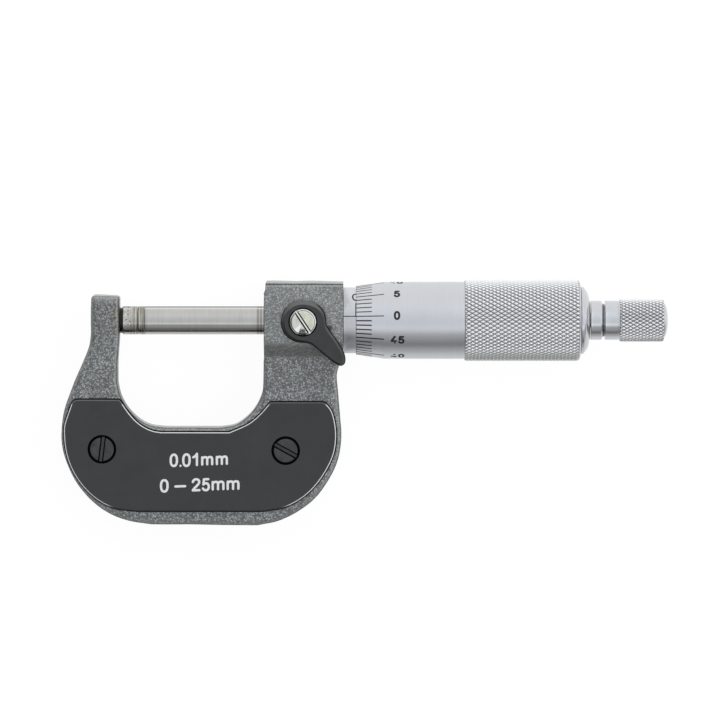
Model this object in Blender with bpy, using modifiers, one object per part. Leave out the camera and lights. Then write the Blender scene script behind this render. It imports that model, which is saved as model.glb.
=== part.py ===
"""Outside micrometer, 0 to 25 mm, with ratchet stop and spindle lock.

It lies on its back: +Z points out of its front, +X runs along the spindle from
the anvil to the ratchet, and +Y points up across the frame.  The drawing
coordinates below are millimetres with the spindle axis at y = z = 0 and the
measuring plane (both faces closed) at x = 0.  One empty then sets the whole
object down so that its bounding box stands centred on the world origin.
"""
import math

import bmesh
import bpy
from mathutils import Matrix, Vector

MM = 0.001

# ---------------------------------------------------------------- dimensions
# spindle line
SPINDLE_R = 3.25
CLOSED_GAP = 0.03            # gap left between the two measuring faces at zero
TIP_LEN = 1.5
THREAD_R = 3.65
THREAD_X = (46.9, 87.0)
TAPER_X = (90.0, 98.0)
TAPER_R = (3.60, 3.00)
TAIL_HOLE_R = 1.95
SCREW_PITCH = 0.5
TRAVEL = 25.0

# anvil
ANVIL_FACE_ARM_X = -4.13     # inner face of the left arm at the anvil
ANVIL_SHANK_R = 2.80
ANVIL_BORE_R = 2.85
ANVIL_DEPTH_X = -9.7

# frame
WEB_HALF = 4.5               # half thickness of the C web
WEB_EDGE = 0.35              # edge chamfer of the web
BLOCK_X = (28.94, 47.10)
BLOCK_Y = (-8.15, 8.75)
BLOCK_HALF = 8.0
BLOCK_FOOT = 3.2             # 45 degree chamfer under the front and rear faces
POCKET_DEPTH = 0.80
PLATE_THICK = 1.60
PLATE_EDGE = 0.25
PLATE_SLACK = 0.10           # gap all round a plate in its pocket
SCREW_POS = ((-8.18, -29.35), (33.90, -29.65))
SCREW_HEAD_R = 2.86
SCREW_SINK_R = 3.25

# sleeve line
BUSH_R = 5.50
BUSH_BORE_X = 30.5
BARREL_R = 6.70
SLEEVE_R = 7.56
SLEEVE_BORE_R = 6.80
SLEEVE_X = (47.15, 77.0)
GUIDE_R = 3.30
RELIEF_R = 3.90
NUT_R = 3.68
NUT_X = (72.0, 86.0)

# thimble
THIMBLE_X = (50.0, 101.7)
THIMBLE_BORE_R = 7.70
THIMBLE_EDGE_R = 7.84
THIMBLE_BEVEL_X = 56.4
THIMBLE_R = 8.85
KNURL_X = (74.9, 101.0)
KNURL_R = 9.35
HUB_R = 5.90

# ratchet stop
COLLAR_X = (103.85, 106.3)
KNOB_X = (107.10, 120.65)
KNOB_R = 4.50
KNOB_KNURL_R = 4.92
KNOB_BORE_R = 3.55
KEY_R = 1.90
KEY_FLAT = 1.40
TOOTH_LOW_X = 112.20
TOOTH_HIGH_X = 112.60
TEETH = 12
MESH_GAP = 0.08

# spindle lock
LOCK_X = 37.90
LOCK_Y = 0.0
LOCK_HOLE_R = 2.60
LEVER_Z = (8.15, 10.60)
LOCK_HEAD_R = 3.03

COLLECTION = "outside_micrometer"


# ---------------------------------------------------------------- scene setup
for ob in list(bpy.data.objects):
    bpy.data.objects.remove(ob, do_unlink=True)

parts_col = bpy.data.collections.new(COLLECTION)
bpy.context.scene.collection.children.link(parts_col)
cut_col = bpy.data.collections.new("cutters")
bpy.context.scene.collection.children.link(cut_col)

datum = bpy.data.objects.new("micrometer_datum", None)
parts_col.objects.link(datum)


def material(name, colour, metallic, roughness):
    mat = bpy.data.materials.new(name)
    mat.use_nodes = True
    bsdf = mat.node_tree.nodes["Principled BSDF"]
    bsdf.inputs["Base Color"].default_value = (*colour, 1.0)
    bsdf.inputs["Metallic"].default_value = metallic
    bsdf.inputs["Roughness"].default_value = roughness
    return mat


HAMMERED = material("hammered_paint", (0.16, 0.17, 0.17), 0.3, 0.45)
BLACK_PLASTIC = material("black_plastic", (0.045, 0.047, 0.047), 0.0, 0.5)
BLACK_METAL = material("black_metal", (0.045, 0.047, 0.047), 0.2, 0.45)
STEEL = material("ground_steel", (0.60, 0.59, 0.57), 1.0, 0.25)
CARBIDE = material("carbide", (0.42, 0.39, 0.36), 1.0, 0.3)
SATIN = material("satin_chrome", (0.68, 0.70, 0.73), 1.0, 0.4)
BRIGHT = material("bright_plate", (0.80, 0.80, 0.76), 1.0, 0.25)
BRASS = material("brass", (0.72, 0.53, 0.24), 1.0, 0.35)
SPRING = material("spring_steel", (0.42, 0.42, 0.42), 1.0, 0.35)


# ---------------------------------------------------------------- helpers
def place(ob, mat, cutter=False):
    """Link an object, parent it to the datum and give it its material."""
    (cut_col if cutter else parts_col).objects.link(ob)
    ob.parent = datum
    if cutter:
        ob.hide_render = True
        ob.display_type = "WIRE"
    if mat is not None:
        ob.data.materials.append(mat)
    return ob


def smooth(ob, angle=35.0):
    ob.data.shade_smooth()
    ob.data.set_sharp_from_angle(angle=math.radians(angle))
    return ob


def turned(name, profile, mat, n=32, axis="X", at=(0.0, 0.0), cutter=False):
    """A turned piece: profile points are (station, radius) in millimetres and
    run down the outer side, from high station to low.  A profile that ends on
    the axis makes a solid, any other is closed into a ring."""
    mesh = bpy.data.meshes.new(name)
    bm = bmesh.new()
    pts = [bm.verts.new((r * MM, 0.0, s * MM)) for s, r in profile]
    for a, b in zip(pts, pts[1:]):
        bm.edges.new((a, b))
    if profile[0][1] > 0.0 or profile[-1][1] > 0.0:
        bm.edges.new((pts[-1], pts[0]))
    bm.to_mesh(mesh)
    bm.free()
    ob = place(bpy.data.objects.new(name, mesh), mat, cutter)
    screw = ob.modifiers.new("turn", "SCREW")
    screw.axis = "Z"
    screw.angle = 2 * math.pi
    screw.steps = screw.render_steps = n
    screw.use_merge_vertices = True
    screw.merge_threshold = 1e-6
    screw.use_smooth_shade = True
    if axis == "X":
        ob.rotation_euler = (0.0, math.pi / 2, 0.0)
    else:
        ob.location = (at[0] * MM, at[1] * MM, 0.0)
    return ob


def spline(points, per=2):
    """Centripetal curve through the points, `per` steps for each span."""
    pts = [Vector(p) for p in points]
    pts = [2 * pts[0] - pts[1]] + pts + [2 * pts[-1] - pts[-2]]
    out = []
    for i in range(1, len(pts) - 2):
        p0, p1, p2, p3 = pts[i - 1:i + 3]
        t0 = 0.0
        t1 = t0 + (p1 - p0).length ** 0.5
        t2 = t1 + (p2 - p1).length ** 0.5
        t3 = t2 + (p3 - p2).length ** 0.5
        for k in range(per):
            t = t1 + (t2 - t1) * k / per
            a1 = (t1 - t) / (t1 - t0) * p0 + (t - t0) / (t1 - t0) * p1
            a2 = (t2 - t) / (t2 - t1) * p1 + (t - t1) / (t2 - t1) * p2
            a3 = (t3 - t) / (t3 - t2) * p2 + (t - t2) / (t3 - t2) * p3
            b1 = (t2 - t) / (t2 - t0) * a1 + (t - t0) / (t2 - t0) * a2
            b2 = (t3 - t) / (t3 - t1) * a2 + (t - t1) / (t3 - t1) * a3
            out.append((t2 - t) / (t2 - t1) * b1 + (t - t1) / (t2 - t1) * b2)
    out.append(pts[-2])
    return [(p.x, p.y) for p in out]


def corner(p, before, after, r, steps=3):
    """Points of a rounded corner of radius r at p."""
    p, a, b = Vector(p), Vector(before), Vector(after)
    u, v = (a - p).normalized(), (b - p).normalized()
    half = u.angle(v) / 2
    centre = p + (u + v).normalized() * (r / math.sin(half))
    start = p + u * (r / math.tan(half)) - centre
    end = p + v * (r / math.tan(half)) - centre
    sweep = start.angle_signed(end)
    out = []
    for k in range(steps + 1):
        w = start.copy()
        w.rotate(Matrix.Rotation(-sweep * k / steps, 2))
        out.append(tuple(centre + w))
    return out


def offset_outline(points, distance):
    """Move a closed outline sideways by distance (outwards if it runs
    anticlockwise)."""
    n = len(points)
    out = []
    for i in range(n):
        a, b, c = (Vector(points[j % n]) for j in (i - 1, i, i + 1))
        d1, d2 = (b - a).normalized(), (c - b).normalized()
        n1, n2 = Vector((d1.y, -d1.x)), Vector((d2.y, -d2.x))
        m = (n1 + n2).normalized()
        out.append(tuple(b + m * (distance / max(0.5, m.dot(n1)))))
    return out


def area(points):
    return 0.5 * sum(a[0] * b[1] - b[0] * a[1]
                     for a, b in zip(points, points[1:] + points[:1]))


def thin_out(points, least=0.12):
    """Drop points that lie closer than `least` to the one before."""
    out = []
    for p in points:
        if not out or (Vector(p) - Vector(out[-1])).length > least:
            out.append(p)
    if (Vector(out[0]) - Vector(out[-1])).length <= least:
        out.pop()
    return out


def slab(name, points, z, mat, edge=0.0, rounds=0, cutter=False,
         at=(0.0, 0.0)):
    """A flat piece cut from sheet: the outline filled and extruded between
    the two z levels, its edges broken by `edge`, its origin standing `at`."""
    points = thin_out([(x - at[0], y - at[1]) for x, y in points])
    if area(points) < 0:
        points = points[::-1]
    curve = bpy.data.curves.new(name + "_outline", "CURVE")
    curve.dimensions = "2D"
    curve.fill_mode = "BOTH"
    curve.extrude = ((z[1] - z[0]) / 2 - edge) * MM
    curve.bevel_depth = edge * MM
    curve.bevel_resolution = rounds
    curve.offset = -edge * MM
    curve.resolution_u = 1
    curve.render_resolution_u = 0
    s = curve.splines.new("POLY")
    s.points.add(len(points) - 1)
    for q, (x, y) in zip(s.points, points):
        q.co = (x * MM, y * MM, 0.0, 1.0)
    s.use_cyclic_u = True
    guide = bpy.data.objects.new(name + "_guide", curve)
    bpy.context.scene.collection.objects.link(guide)
    bpy.context.view_layer.update()
    deps = bpy.context.evaluated_depsgraph_get()
    mesh = bpy.data.meshes.new_from_object(guide.evaluated_get(deps))
    mesh.name = name
    mesh.materials.clear()
    bm = bmesh.new()
    bm.from_mesh(mesh)
    bmesh.ops.remove_doubles(bm, verts=bm.verts, dist=1e-6)
    bmesh.ops.dissolve_limit(bm, angle_limit=math.radians(0.5),
                             verts=bm.verts, edges=bm.edges)
    bmesh.ops.triangulate(bm, faces=[f for f in bm.faces if len(f.verts) > 4])
    bmesh.ops.recalc_face_normals(bm, faces=bm.faces)
    bm.to_mesh(mesh)
    bm.free()
    ob = place(bpy.data.objects.new(name, mesh), mat, cutter)
    ob.location = (at[0] * MM, at[1] * MM, (z[0] + z[1]) / 2 * MM)
    bpy.data.objects.remove(guide, do_unlink=True)
    return ob


def box(name, low, high, mat=None, cutter=False, turn=0.0, about=None):
    """A block between two corners in millimetres, turned about Z if asked."""
    mesh = bpy.data.meshes.new(name)
    bm = bmesh.new()
    bmesh.ops.create_cube(bm, size=1.0)
    size = [(h - l) * MM for l, h in zip(low, high)]
    bmesh.ops.scale(bm, verts=bm.verts, vec=size)
    bm.to_mesh(mesh)
    bm.free()
    ob = place(bpy.data.objects.new(name, mesh), mat, cutter)
    ob.location = [(h + l) / 2 * MM for l, h in zip(low, high)]
    if turn:
        ob.rotation_euler = (0.0, 0.0, turn)
    return ob


def boolean(ob, other, operation="DIFFERENCE"):
    m = ob.modifiers.new(operation.lower(), "BOOLEAN")
    m.operation = operation
    m.solver = "EXACT"
    m.object = other
    return m


def bevel(ob, width, segments=1, angle=40.0):
    m = ob.modifiers.new("edges", "BEVEL")
    m.width = width * MM
    m.segments = segments
    m.limit_method = "ANGLE"
    m.angle_limit = math.radians(angle)
    return m


# ---------------------------------------------------------------- outlines
# outside of the C, from the top of the left arm down, round and up the right
OUTSIDE_LEFT = [(-10.93, -3.1), (-11.40, -5.8), (-12.70, -9.1), (-14.31, -12.8),
                (-15.92, -16.9), (-17.25, -20.9), (-17.76, -25.9),
                (-17.45, -29.4), (-16.15, -33.4), (-13.97, -37.5),
                (-10.18, -41.7), (-6.04, -44.5), (-2.00, -45.95),
                (3.00, -46.70)]
OUTSIDE_RIGHT = [(27.40, -46.95), (32.30, -45.90), (37.00, -43.55),
                 (40.90, -40.40), (43.90, -36.20), (45.80, -32.10),
                 (46.63, -27.30), (46.35, -22.00), (45.90, -17.0),
                 (45.60, -12.3), (46.10, -10.2), (46.70, -7.2)]
# the throat, from the right arm down and round to the left arm
THROAT_RIGHT = [(28.70, -15.5), (28.35, -17.1), (27.10, -19.7),
                (24.90, -22.2), (22.20, -23.90), (19.00, -24.45)]
THROAT_LEFT = [(6.20, -24.45), (2.69, -23.90), (0.00, -22.4),
               (-2.20, -20.2), (-3.90, -17.3), (-4.66, -14.3)]


def frame_outline():
    arm_left, arm_right, top = -10.93, ANVIL_FACE_ARM_X, 5.93
    out = []
    out += corner((arm_right, top - 0.2), (arm_right, 0), (arm_left, top), 0.6)
    out += corner((arm_left, top), (arm_right, top), (arm_left, 0), 1.0)
    out += spline(OUTSIDE_LEFT)
    out += spline(OUTSIDE_RIGHT)
    out += [(46.7, 7.6), (29.5, 7.6), (29.5, -7.9), (28.70, -8.9)]
    out += spline(THROAT_RIGHT)
    out += spline(THROAT_LEFT)
    out += [(-4.66, -4.6), (ANVIL_FACE_ARM_X, -3.3)]
    return out


PLATE_OUT_LEFT = [(-14.85, -18.25), (-15.60, -19.35), (-16.25, -21.30),
                  (-16.80, -24.00), (-16.85, -26.20), (-16.55, -29.20),
                  (-15.60, -32.75), (-13.35, -36.85), (-9.85, -40.50),
                  (-5.75, -42.75), (0.00, -43.55)]
PLATE_OUT_RIGHT = [(28.60, -43.55), (33.60, -42.65), (37.20, -40.85),
                   (40.40, -38.10), (43.25, -34.10), (44.95, -30.25),
                   (45.45, -26.35), (45.10, -22.85), (44.30, -20.35),
                   (43.00, -18.78)]
PLATE_IN_RIGHT = [(30.40, -18.55), (28.07, -21.25), (25.40, -23.45),
                  (21.00, -25.45)]
PLATE_IN_LEFT = [(5.65, -25.45), (1.70, -24.00), (-1.90, -21.00),
                 (-4.40, -18.00)]


def plate_outline():
    """The cover plate, anticlockwise from its upper left corner."""
    return (spline(PLATE_OUT_LEFT) + spline(PLATE_OUT_RIGHT)
            + [(42.3, -18.55)] + spline(PLATE_IN_RIGHT)
            + spline(PLATE_IN_LEFT) + [(-14.30, -18.00)])


# the lever about its own axis, from the right of the boss round to its arm
LEVER = [(5.33, 0.00), (5.22, 1.10), (4.92, 2.10), (4.42, 3.00), (3.70, 3.75),
         (2.75, 4.30), (1.60, 4.66), (0.40, 4.83), (-0.80, 4.80), (-2.00, 4.50),
         (-3.10, 3.90), (-4.00, 3.08), (-4.62, 2.05), (-4.95, 0.85),
         (-5.00, -0.35), (-4.78, -1.55), (-4.25, -2.65), (-3.45, -3.55),
         (-2.45, -4.22), (-1.30, -4.62), (-0.10, -4.76), (0.95, -4.85),
         (1.90, -5.20), (2.75, -5.81), (4.02, -6.87), (5.61, -8.22),
         (6.73, -9.10), (7.83, -9.78), (8.75, -10.02), (9.50, -9.55),
         (9.72, -8.60), (9.46, -7.20), (8.55, -5.40), (7.50, -3.80),
         (6.55, -2.50), (5.85, -1.45), (5.45, -0.65)]


def lever_outline():
    """Teardrop lever: a round boss that runs out into a tapered arm."""
    return [(LOCK_X + x, LOCK_Y + y) for x, y in LEVER]


# ---------------------------------------------------------------- the frame
outline = frame_outline()
c_frame = slab("c_frame", outline, (-WEB_HALF, WEB_HALF), HAMMERED,
               edge=WEB_EDGE)
block = box("block_body", (BLOCK_X[0], BLOCK_Y[0], -BLOCK_HALF),
            (BLOCK_X[1], BLOCK_Y[1], BLOCK_HALF), cutter=True)
for k, s in enumerate((1, -1)):
    # a square bar standing on its edge takes the lower corner off
    side = BLOCK_FOOT * math.sqrt(2)
    foot = box(f"block_foot_{k}", (BLOCK_X[0] - 1.0, BLOCK_Y[0] - side / 2,
                                   s * BLOCK_HALF - side / 2),
               (BLOCK_X[1] + 1.0, BLOCK_Y[0] + side / 2, s * BLOCK_HALF + side / 2),
               cutter=True)
    foot.rotation_euler = (math.radians(45.0), 0.0, 0.0)
    boolean(block, foot)
bevel(block, 0.3, angle=60.0)
boolean(c_frame, block, "UNION")

bush_bore = turned("bush_bore", [(48.5, 0.0), (48.5, 5.55), (BUSH_BORE_X, 5.55),
                                 (BUSH_BORE_X, 3.45), (27.5, 3.45), (27.5, 0.0)],
                   None, 32, cutter=True)
boolean(c_frame, bush_bore)
anvil_bore = turned("anvil_bore", [(-3.5, 0.0), (-3.5, ANVIL_BORE_R),
                                   (ANVIL_DEPTH_X, ANVIL_BORE_R),
                                   (ANVIL_DEPTH_X, 0.0)], None, 32, cutter=True)
boolean(c_frame, anvil_bore)
lock_hole = turned("lock_hole", [(9.0, 0.0), (9.0, LOCK_HOLE_R),
                                 (4.0, LOCK_HOLE_R), (4.0, 0.0)],
                   None, 24, "Z", (LOCK_X, LOCK_Y), cutter=True)
boolean(c_frame, lock_hole)

plate_points = plate_outline()
pocket_points = offset_outline(thin_out(plate_points), PLATE_SLACK)
floor_z = WEB_HALF - POCKET_DEPTH
for side, z in (("front", (floor_z, WEB_HALF + 1.0)),
                ("rear", (-WEB_HALF - 1.0, -floor_z))):
    pocket = slab("pocket_" + side, pocket_points, z, None, cutter=True)
    boolean(c_frame, pocket)
for side, (x, y) in zip(("left", "right"), SCREW_POS):
    hole = turned("screw_hole_" + side, [(6.0, 0.0), (6.0, 1.55), (-6.0, 1.55),
                                         (-6.0, 0.0)], None, 20, "Z", (x, y),
                  cutter=True)
    boolean(c_frame, hole)

# ---------------------------------------------------------------- the anvil
anvil = turned("anvil", [(-TIP_LEN - 0.15, 0.0), (-TIP_LEN - 0.15, SPINDLE_R),
                         (-3.45, SPINDLE_R), (-3.60, 3.10), (-3.60, 2.95),
                         (-4.08, 2.95), (-4.08, ANVIL_SHANK_R),
                         (-9.3, ANVIL_SHANK_R), (-9.6, 2.5), (-9.6, 0.0)], STEEL)
anvil_tip = turned("anvil_tip", [(0.0, 0.0), (0.0, 3.10), (-0.15, SPINDLE_R),
                                 (-TIP_LEN - 0.12, SPINDLE_R),
                                 (-TIP_LEN - 0.12, 0.0)], CARBIDE)

# ---------------------------------------------------------------- the covers
plate_z = (floor_z + 0.05, floor_z + 0.05 + PLATE_THICK)
sink_z = plate_z[1] - 1.05
for side, sign in (("front", 1), ("rear", -1)):
    z = plate_z if sign > 0 else (-plate_z[1], -plate_z[0])
    plate = slab(side + "_plate", plate_points, z, BLACK_PLASTIC,
                 edge=PLATE_EDGE)
    for where, (x, y) in zip(("left", "right"), SCREW_POS):
        # countersink ring and clearance hole, as one turned cutter
        prof = [(6.5, 0.0), (6.5, SCREW_SINK_R), (sink_z, SCREW_SINK_R),
                (sink_z, 1.55), (3.0, 1.55), (3.0, 0.0)]
        if sign < 0:
            prof = [(-s, r) for s, r in prof[::-1]]
        sink = turned(f"sink_{side}_{where}", prof, None, 24, "Z", (x, y),
                      cutter=True)
        boolean(plate, sink)
        head_top = plate_z[1] - 0.08
        prof = [(head_top, 0.0), (head_top, SCREW_HEAD_R - 0.2),
                (head_top - 0.2, SCREW_HEAD_R), (sink_z + 0.06, SCREW_HEAD_R),
                (sink_z + 0.06, 1.40), (0.6, 1.40), (0.3, 1.1), (0.3, 0.0)]
        if sign < 0:
            prof = [(-s, r) for s, r in prof[::-1]]
        screw = turned(f"plate_screw_{side}_{where}", prof, BLACK_METAL, 24,
                       "Z", (x, y))
        slot_turn = math.radians(-83.3 if where == "left" else -30.0)
        slot = box(f"slot_{side}_{where}", (x - 4.0, y - 0.5, sign * head_top - 0.55),
                   (x + 4.0, y + 0.5, sign * head_top + 0.55), cutter=True,
                   turn=slot_turn * sign)
        boolean(screw, slot)

# ---------------------------------------------------------------- sleeve line
bush = turned("threaded_bush", [
    (NUT_X[1], 5.35), (NUT_X[1] - 0.3, 5.60), (74.5, 6.20), (74.0, 6.70),
    (47.13, BARREL_R), (47.13, BUSH_R), (BUSH_BORE_X + 0.1, BUSH_R),
    (BUSH_BORE_X + 0.1, GUIDE_R), (46.0, GUIDE_R), (46.3, RELIEF_R),
    (71.7, RELIEF_R), (NUT_X[0], NUT_R), (NUT_X[1], NUT_R)], STEEL)
for k in range(3):
    angle = math.radians(30 + 120 * k)
    slit = box(f"nut_slit_{k}", (73.0, -0.3, 3.0), (88.0, 0.3, 8.0), cutter=True)
    # turn the slit cutter about the spindle axis
    slit.location = (80.5 * MM, -5.5 * MM * math.sin(angle),
                     5.5 * MM * math.cos(angle))
    slit.rotation_euler = (angle, 0.0, 0.0)
    boolean(bush, slit)
pad_hole = turned("pad_hole", [(7.5, 0.0), (7.5, 1.60), (1.5, 1.60), (1.5, 0.0)],
                  None, 20, "Z", (LOCK_X, LOCK_Y), cutter=True)
boolean(bush, pad_hole)

sleeve = turned("sleeve", [(SLEEVE_X[1], SLEEVE_R), (SLEEVE_X[0], SLEEVE_R),
                           (SLEEVE_X[0], SLEEVE_BORE_R),
                           (SLEEVE_X[1], SLEEVE_BORE_R)], SATIN, 40)
spanner_hole = turned("spanner_hole", [(-6.9 + 0.6, 0.0), (-6.9 + 0.6, 0.6),
                                       (-9.0, 0.6), (-9.0, 0.0)], None, 16, "Z",
                      (48.45, 0.0), cutter=True)
boolean(sleeve, spanner_hole)

adjusting_nut = turned("adjusting_nut", [
    (84.0, 6.6), (83.7, 6.90), (78.8, 6.90), (78.5, 6.6), (78.5, 6.08),
    (84.0, 5.82)], STEEL)
nut_hole = turned("nut_hole", [(9.0, 0.0), (9.0, 0.7), (6.45, 0.7), (6.45, 0.0)],
                  None, 12, "Z", (81.2, 0.0), cutter=True)
boolean(adjusting_nut, nut_hole)

# ---------------------------------------------------------------- spindle line
spindle_tip = turned("spindle_tip", [
    (CLOSED_GAP + TIP_LEN, 0.0), (CLOSED_GAP + TIP_LEN, SPINDLE_R),
    (CLOSED_GAP + 0.15, SPINDLE_R), (CLOSED_GAP, 3.10), (CLOSED_GAP, 0.0)],
    CARBIDE)
spindle = turned("spindle", [
    (90.8, 0.0), (90.8, TAIL_HOLE_R), (TAPER_X[1], TAIL_HOLE_R),
    (TAPER_X[1], TAPER_R[1]), (TAPER_X[0], TAPER_R[0]),
    (THREAD_X[1] + 0.2, TAPER_R[0]), (THREAD_X[1], THREAD_R),
    (THREAD_X[0] + 0.3, THREAD_R), (THREAD_X[0], SPINDLE_R),
    (CLOSED_GAP + TIP_LEN + 0.02, SPINDLE_R),
    (CLOSED_GAP + TIP_LEN + 0.02, 0.0)], STEEL)

thimble = turned("thimble", [
    (THIMBLE_X[1], 8.35), (101.42, 8.98), (KNURL_X[1], KNURL_R),
    (KNURL_X[0], KNURL_R),
    (KNURL_X[0] - 0.1, THIMBLE_R), (THIMBLE_BEVEL_X, THIMBLE_R - 0.05),
    (THIMBLE_X[0], THIMBLE_EDGE_R), (THIMBLE_X[0], THIMBLE_BORE_R),
    (92.0, THIMBLE_BORE_R), (92.0, HUB_R + 0.1),
    (THIMBLE_X[1], HUB_R + 0.1)], SATIN, 40)
thimble_hub = turned("thimble_hub", [
    (103.6, 4.6), (103.4, 5.6), (103.0, 6.5), (102.1, 7.7), (102.05, 7.2),
    (101.8, 7.2), (101.8, HUB_R), (92.5, HUB_R), (92.5, 3.50), (98.1, 3.08),
    (98.1, 2.2), (103.6, 2.2)], SATIN, 28)

# ---------------------------------------------------------------- ratchet stop
ratchet_stem = turned("ratchet_stem", [
    (110.5, 0.0), (110.5, 0.95), (115.2, 0.95), (115.2, 1.5),
    (TOOTH_LOW_X, 1.5), (TOOTH_LOW_X, KEY_R), (107.0, KEY_R), (107.0, 3.77),
    (106.42, 3.77), (COLLAR_X[1], 4.3), (COLLAR_X[1] - 0.2, KNOB_R),
    (COLLAR_X[0] + 0.2, KNOB_R), (COLLAR_X[0], 4.3), (COLLAR_X[0], 1.8),
    (91.3, 1.8), (91.3, 0.0)], SATIN, 24)
for k, s in enumerate((1, -1)):
    flat = box(f"key_flat_{k}", (107.01, min(s * KEY_FLAT, s * 3), -3),
               (113.5, max(s * KEY_FLAT, s * 3), 3), cutter=True)
    boolean(ratchet_stem, flat)


def face_ring(name, r_in, r_out, flat_x, tooth, mat, n=48):
    """A ring about the X axis with saw teeth on one end face: `tooth` gives
    the station of that face at an angle in degrees, flat_x the other face."""
    mesh = bpy.data.meshes.new(name)
    bm = bmesh.new()
    per = n // TEETH
    angles = []
    for t in range(TEETH):
        for k in range(per):
            # the last stretch of each tooth is the steep flank
            angles.append(360 / TEETH * (t + (k / (per - 1) * 0.9)))
    loops = []
    for a in angles:
        c, s = math.cos(math.radians(a)), math.sin(math.radians(a))
        x = tooth(a)
        loops.append([bm.verts.new((sx * MM, r * c * MM, r * s * MM))
                      for sx, r in ((flat_x, r_in), (flat_x, r_out),
                                    (x, r_out), (x, r_in))])
    for a, b in zip(loops, loops[1:] + loops[:1]):
        for i in range(4):
            j = (i + 1) % 4
            bm.faces.new((a[i], a[j], b[j], b[i]))
    bmesh.ops.triangulate(bm, faces=bm.faces)
    bmesh.ops.recalc_face_normals(bm, faces=bm.faces)
    bm.to_mesh(mesh)
    bm.free()
    return place(bpy.data.objects.new(name, mesh), mat)


def saw(angle):
    """Height of the saw teeth, 0 to 1, at an angle in degrees."""
    u = (angle % (360 / TEETH)) / (360 / TEETH)
    return u / 0.9 if u <= 0.9 else (1 - u) / 0.1


clutch = face_ring("ratchet_clutch_ring", 2.05, 3.30, 110.30,
                   lambda a: TOOTH_LOW_X + (TOOTH_HIGH_X - TOOTH_LOW_X) * saw(a),
                   STEEL)
# two inner lands ride on the flats of the stem
for k, s in enumerate((1, -1)):
    land = box(f"key_land_{k}", (110.35, min(s * 1.5, s * 2.4), -0.9),
               (111.9, max(s * 1.5, s * 2.4), 0.9), cutter=True)
    boolean(clutch, land, "UNION")
wheel = face_ring("ratchet_wheel", 1.62, 3.46, 115.05,
                  lambda a: TOOTH_LOW_X + MESH_GAP
                  + (TOOTH_HIGH_X - TOOTH_LOW_X) * saw(a), STEEL)

# spring between the stem's shoulder and the clutch ring
coil = bpy.data.curves.new("ratchet_spring", "CURVE")
coil.dimensions = "3D"
coil.bevel_depth = 0.25 * MM
coil.bevel_resolution = 2
coil.use_fill_caps = True
coil.resolution_u = 1
coil.render_resolution_u = 0
TURNS, PER_TURN = 2.5, 10
steps = int(TURNS * PER_TURN)
thread = coil.splines.new("POLY")
thread.points.add(steps)
for i, q in enumerate(thread.points):
    a = 2 * math.pi * i / PER_TURN
    q.co = ((107.35 + (109.95 - 107.35) * i / steps) * MM,
            2.75 * math.cos(a) * MM, 2.75 * math.sin(a) * MM, 1.0)
spring = place(bpy.data.objects.new("ratchet_spring", coil), SPRING)

ratchet_washer = turned("ratchet_washer", [(115.75, 2.6), (115.25, 2.6),
                                           (115.25, 1.05), (115.75, 1.05)],
                        STEEL, 24)
ratchet_screw = turned("ratchet_screw", [
    (117.0, 0.0), (117.0, 2.0), (116.8, 2.2), (115.8, 2.2), (115.8, 0.88),
    (111.2, 0.88), (111.2, 0.0)], STEEL, 24)
screw_slot = box("screw_slot", (116.45, -3.0, -0.3), (118.0, 3.0, 0.3),
                 cutter=True)
boolean(ratchet_screw, screw_slot)

ratchet_knob = turned("ratchet_knob", [
    (KNOB_X[1], 4.65), (KNOB_X[1] - 0.27, KNOB_KNURL_R),
    (110.5, KNOB_KNURL_R), (110.4, KNOB_R), (KNOB_X[0] + 0.2, KNOB_R),
    (KNOB_X[0], 4.3), (KNOB_X[0], KNOB_BORE_R), (KNOB_X[1], KNOB_BORE_R)],
    SATIN)
ratchet_end_cap = turned("ratchet_end_cap", [
    (121.6, 0.0), (121.6, 3.6), (121.3, 4.0), (120.70, 4.0), (120.70, 3.48),
    (118.5, 3.48), (118.5, 0.0)], SATIN)

# ---------------------------------------------------------------- spindle lock
lock_pad = turned("lock_pad", [(5.62, 0.0), (5.62, 1.45), (3.40, 1.45),
                               (3.40, 0.0)], BRASS, 20, "Z", (LOCK_X, LOCK_Y))
lock_stud = turned("lock_stud", [
    (6.3, 0.0), (6.3, 1.2), (9.35, 1.2), (9.35, 1.75), (8.12, 1.75),
    (8.05, 2.5), (5.95, 2.5), (5.70, 2.25), (5.70, 0.0)], STEEL, 24, "Z",
    (LOCK_X, LOCK_Y))
lock_lever = slab("lock_lever", lever_outline(), LEVER_Z, BLACK_METAL,
                  edge=0.55, at=(LOCK_X, LOCK_Y))
lever_bore = turned("lever_bore", [
    (12.0, 0.0), (12.0, 3.25), (9.45, 3.25), (9.45, 1.85), (7.0, 1.85),
    (7.0, 0.0)], None, 24, "Z", (LOCK_X, LOCK_Y), cutter=True)
boolean(lock_lever, lever_bore)
lock_screw = turned("lock_screw", [
    (10.95, 0.0), (10.95, 2.75), (10.75, LOCK_HEAD_R), (9.50, LOCK_HEAD_R),
    (9.50, 1.12), (6.6, 1.12), (6.6, 0.0)], BRIGHT, 32, "Z", (LOCK_X, LOCK_Y))
lock_slot = box("lock_slot", (LOCK_X - 4.0, LOCK_Y - 0.4, 10.25),
                (LOCK_X + 4.0, LOCK_Y + 0.4, 12.0), cutter=True,
                turn=math.radians(-50.6))
boolean(lock_screw, lock_slot)

# ---------------------------------------------------------------- set it down
left = min(x for x, y in outline)
bottom = min(y for x, y in outline)
datum.location = (-(left + 121.6) / 2 * MM, -(bottom + KNURL_R) / 2 * MM,
                  KNURL_R * MM)

for ob in parts_col.objects:
    if ob.type == "MESH" and not any(m.type == "SCREW" for m in ob.modifiers):
        smooth(ob)
bpy.context.view_layer.update()
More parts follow.
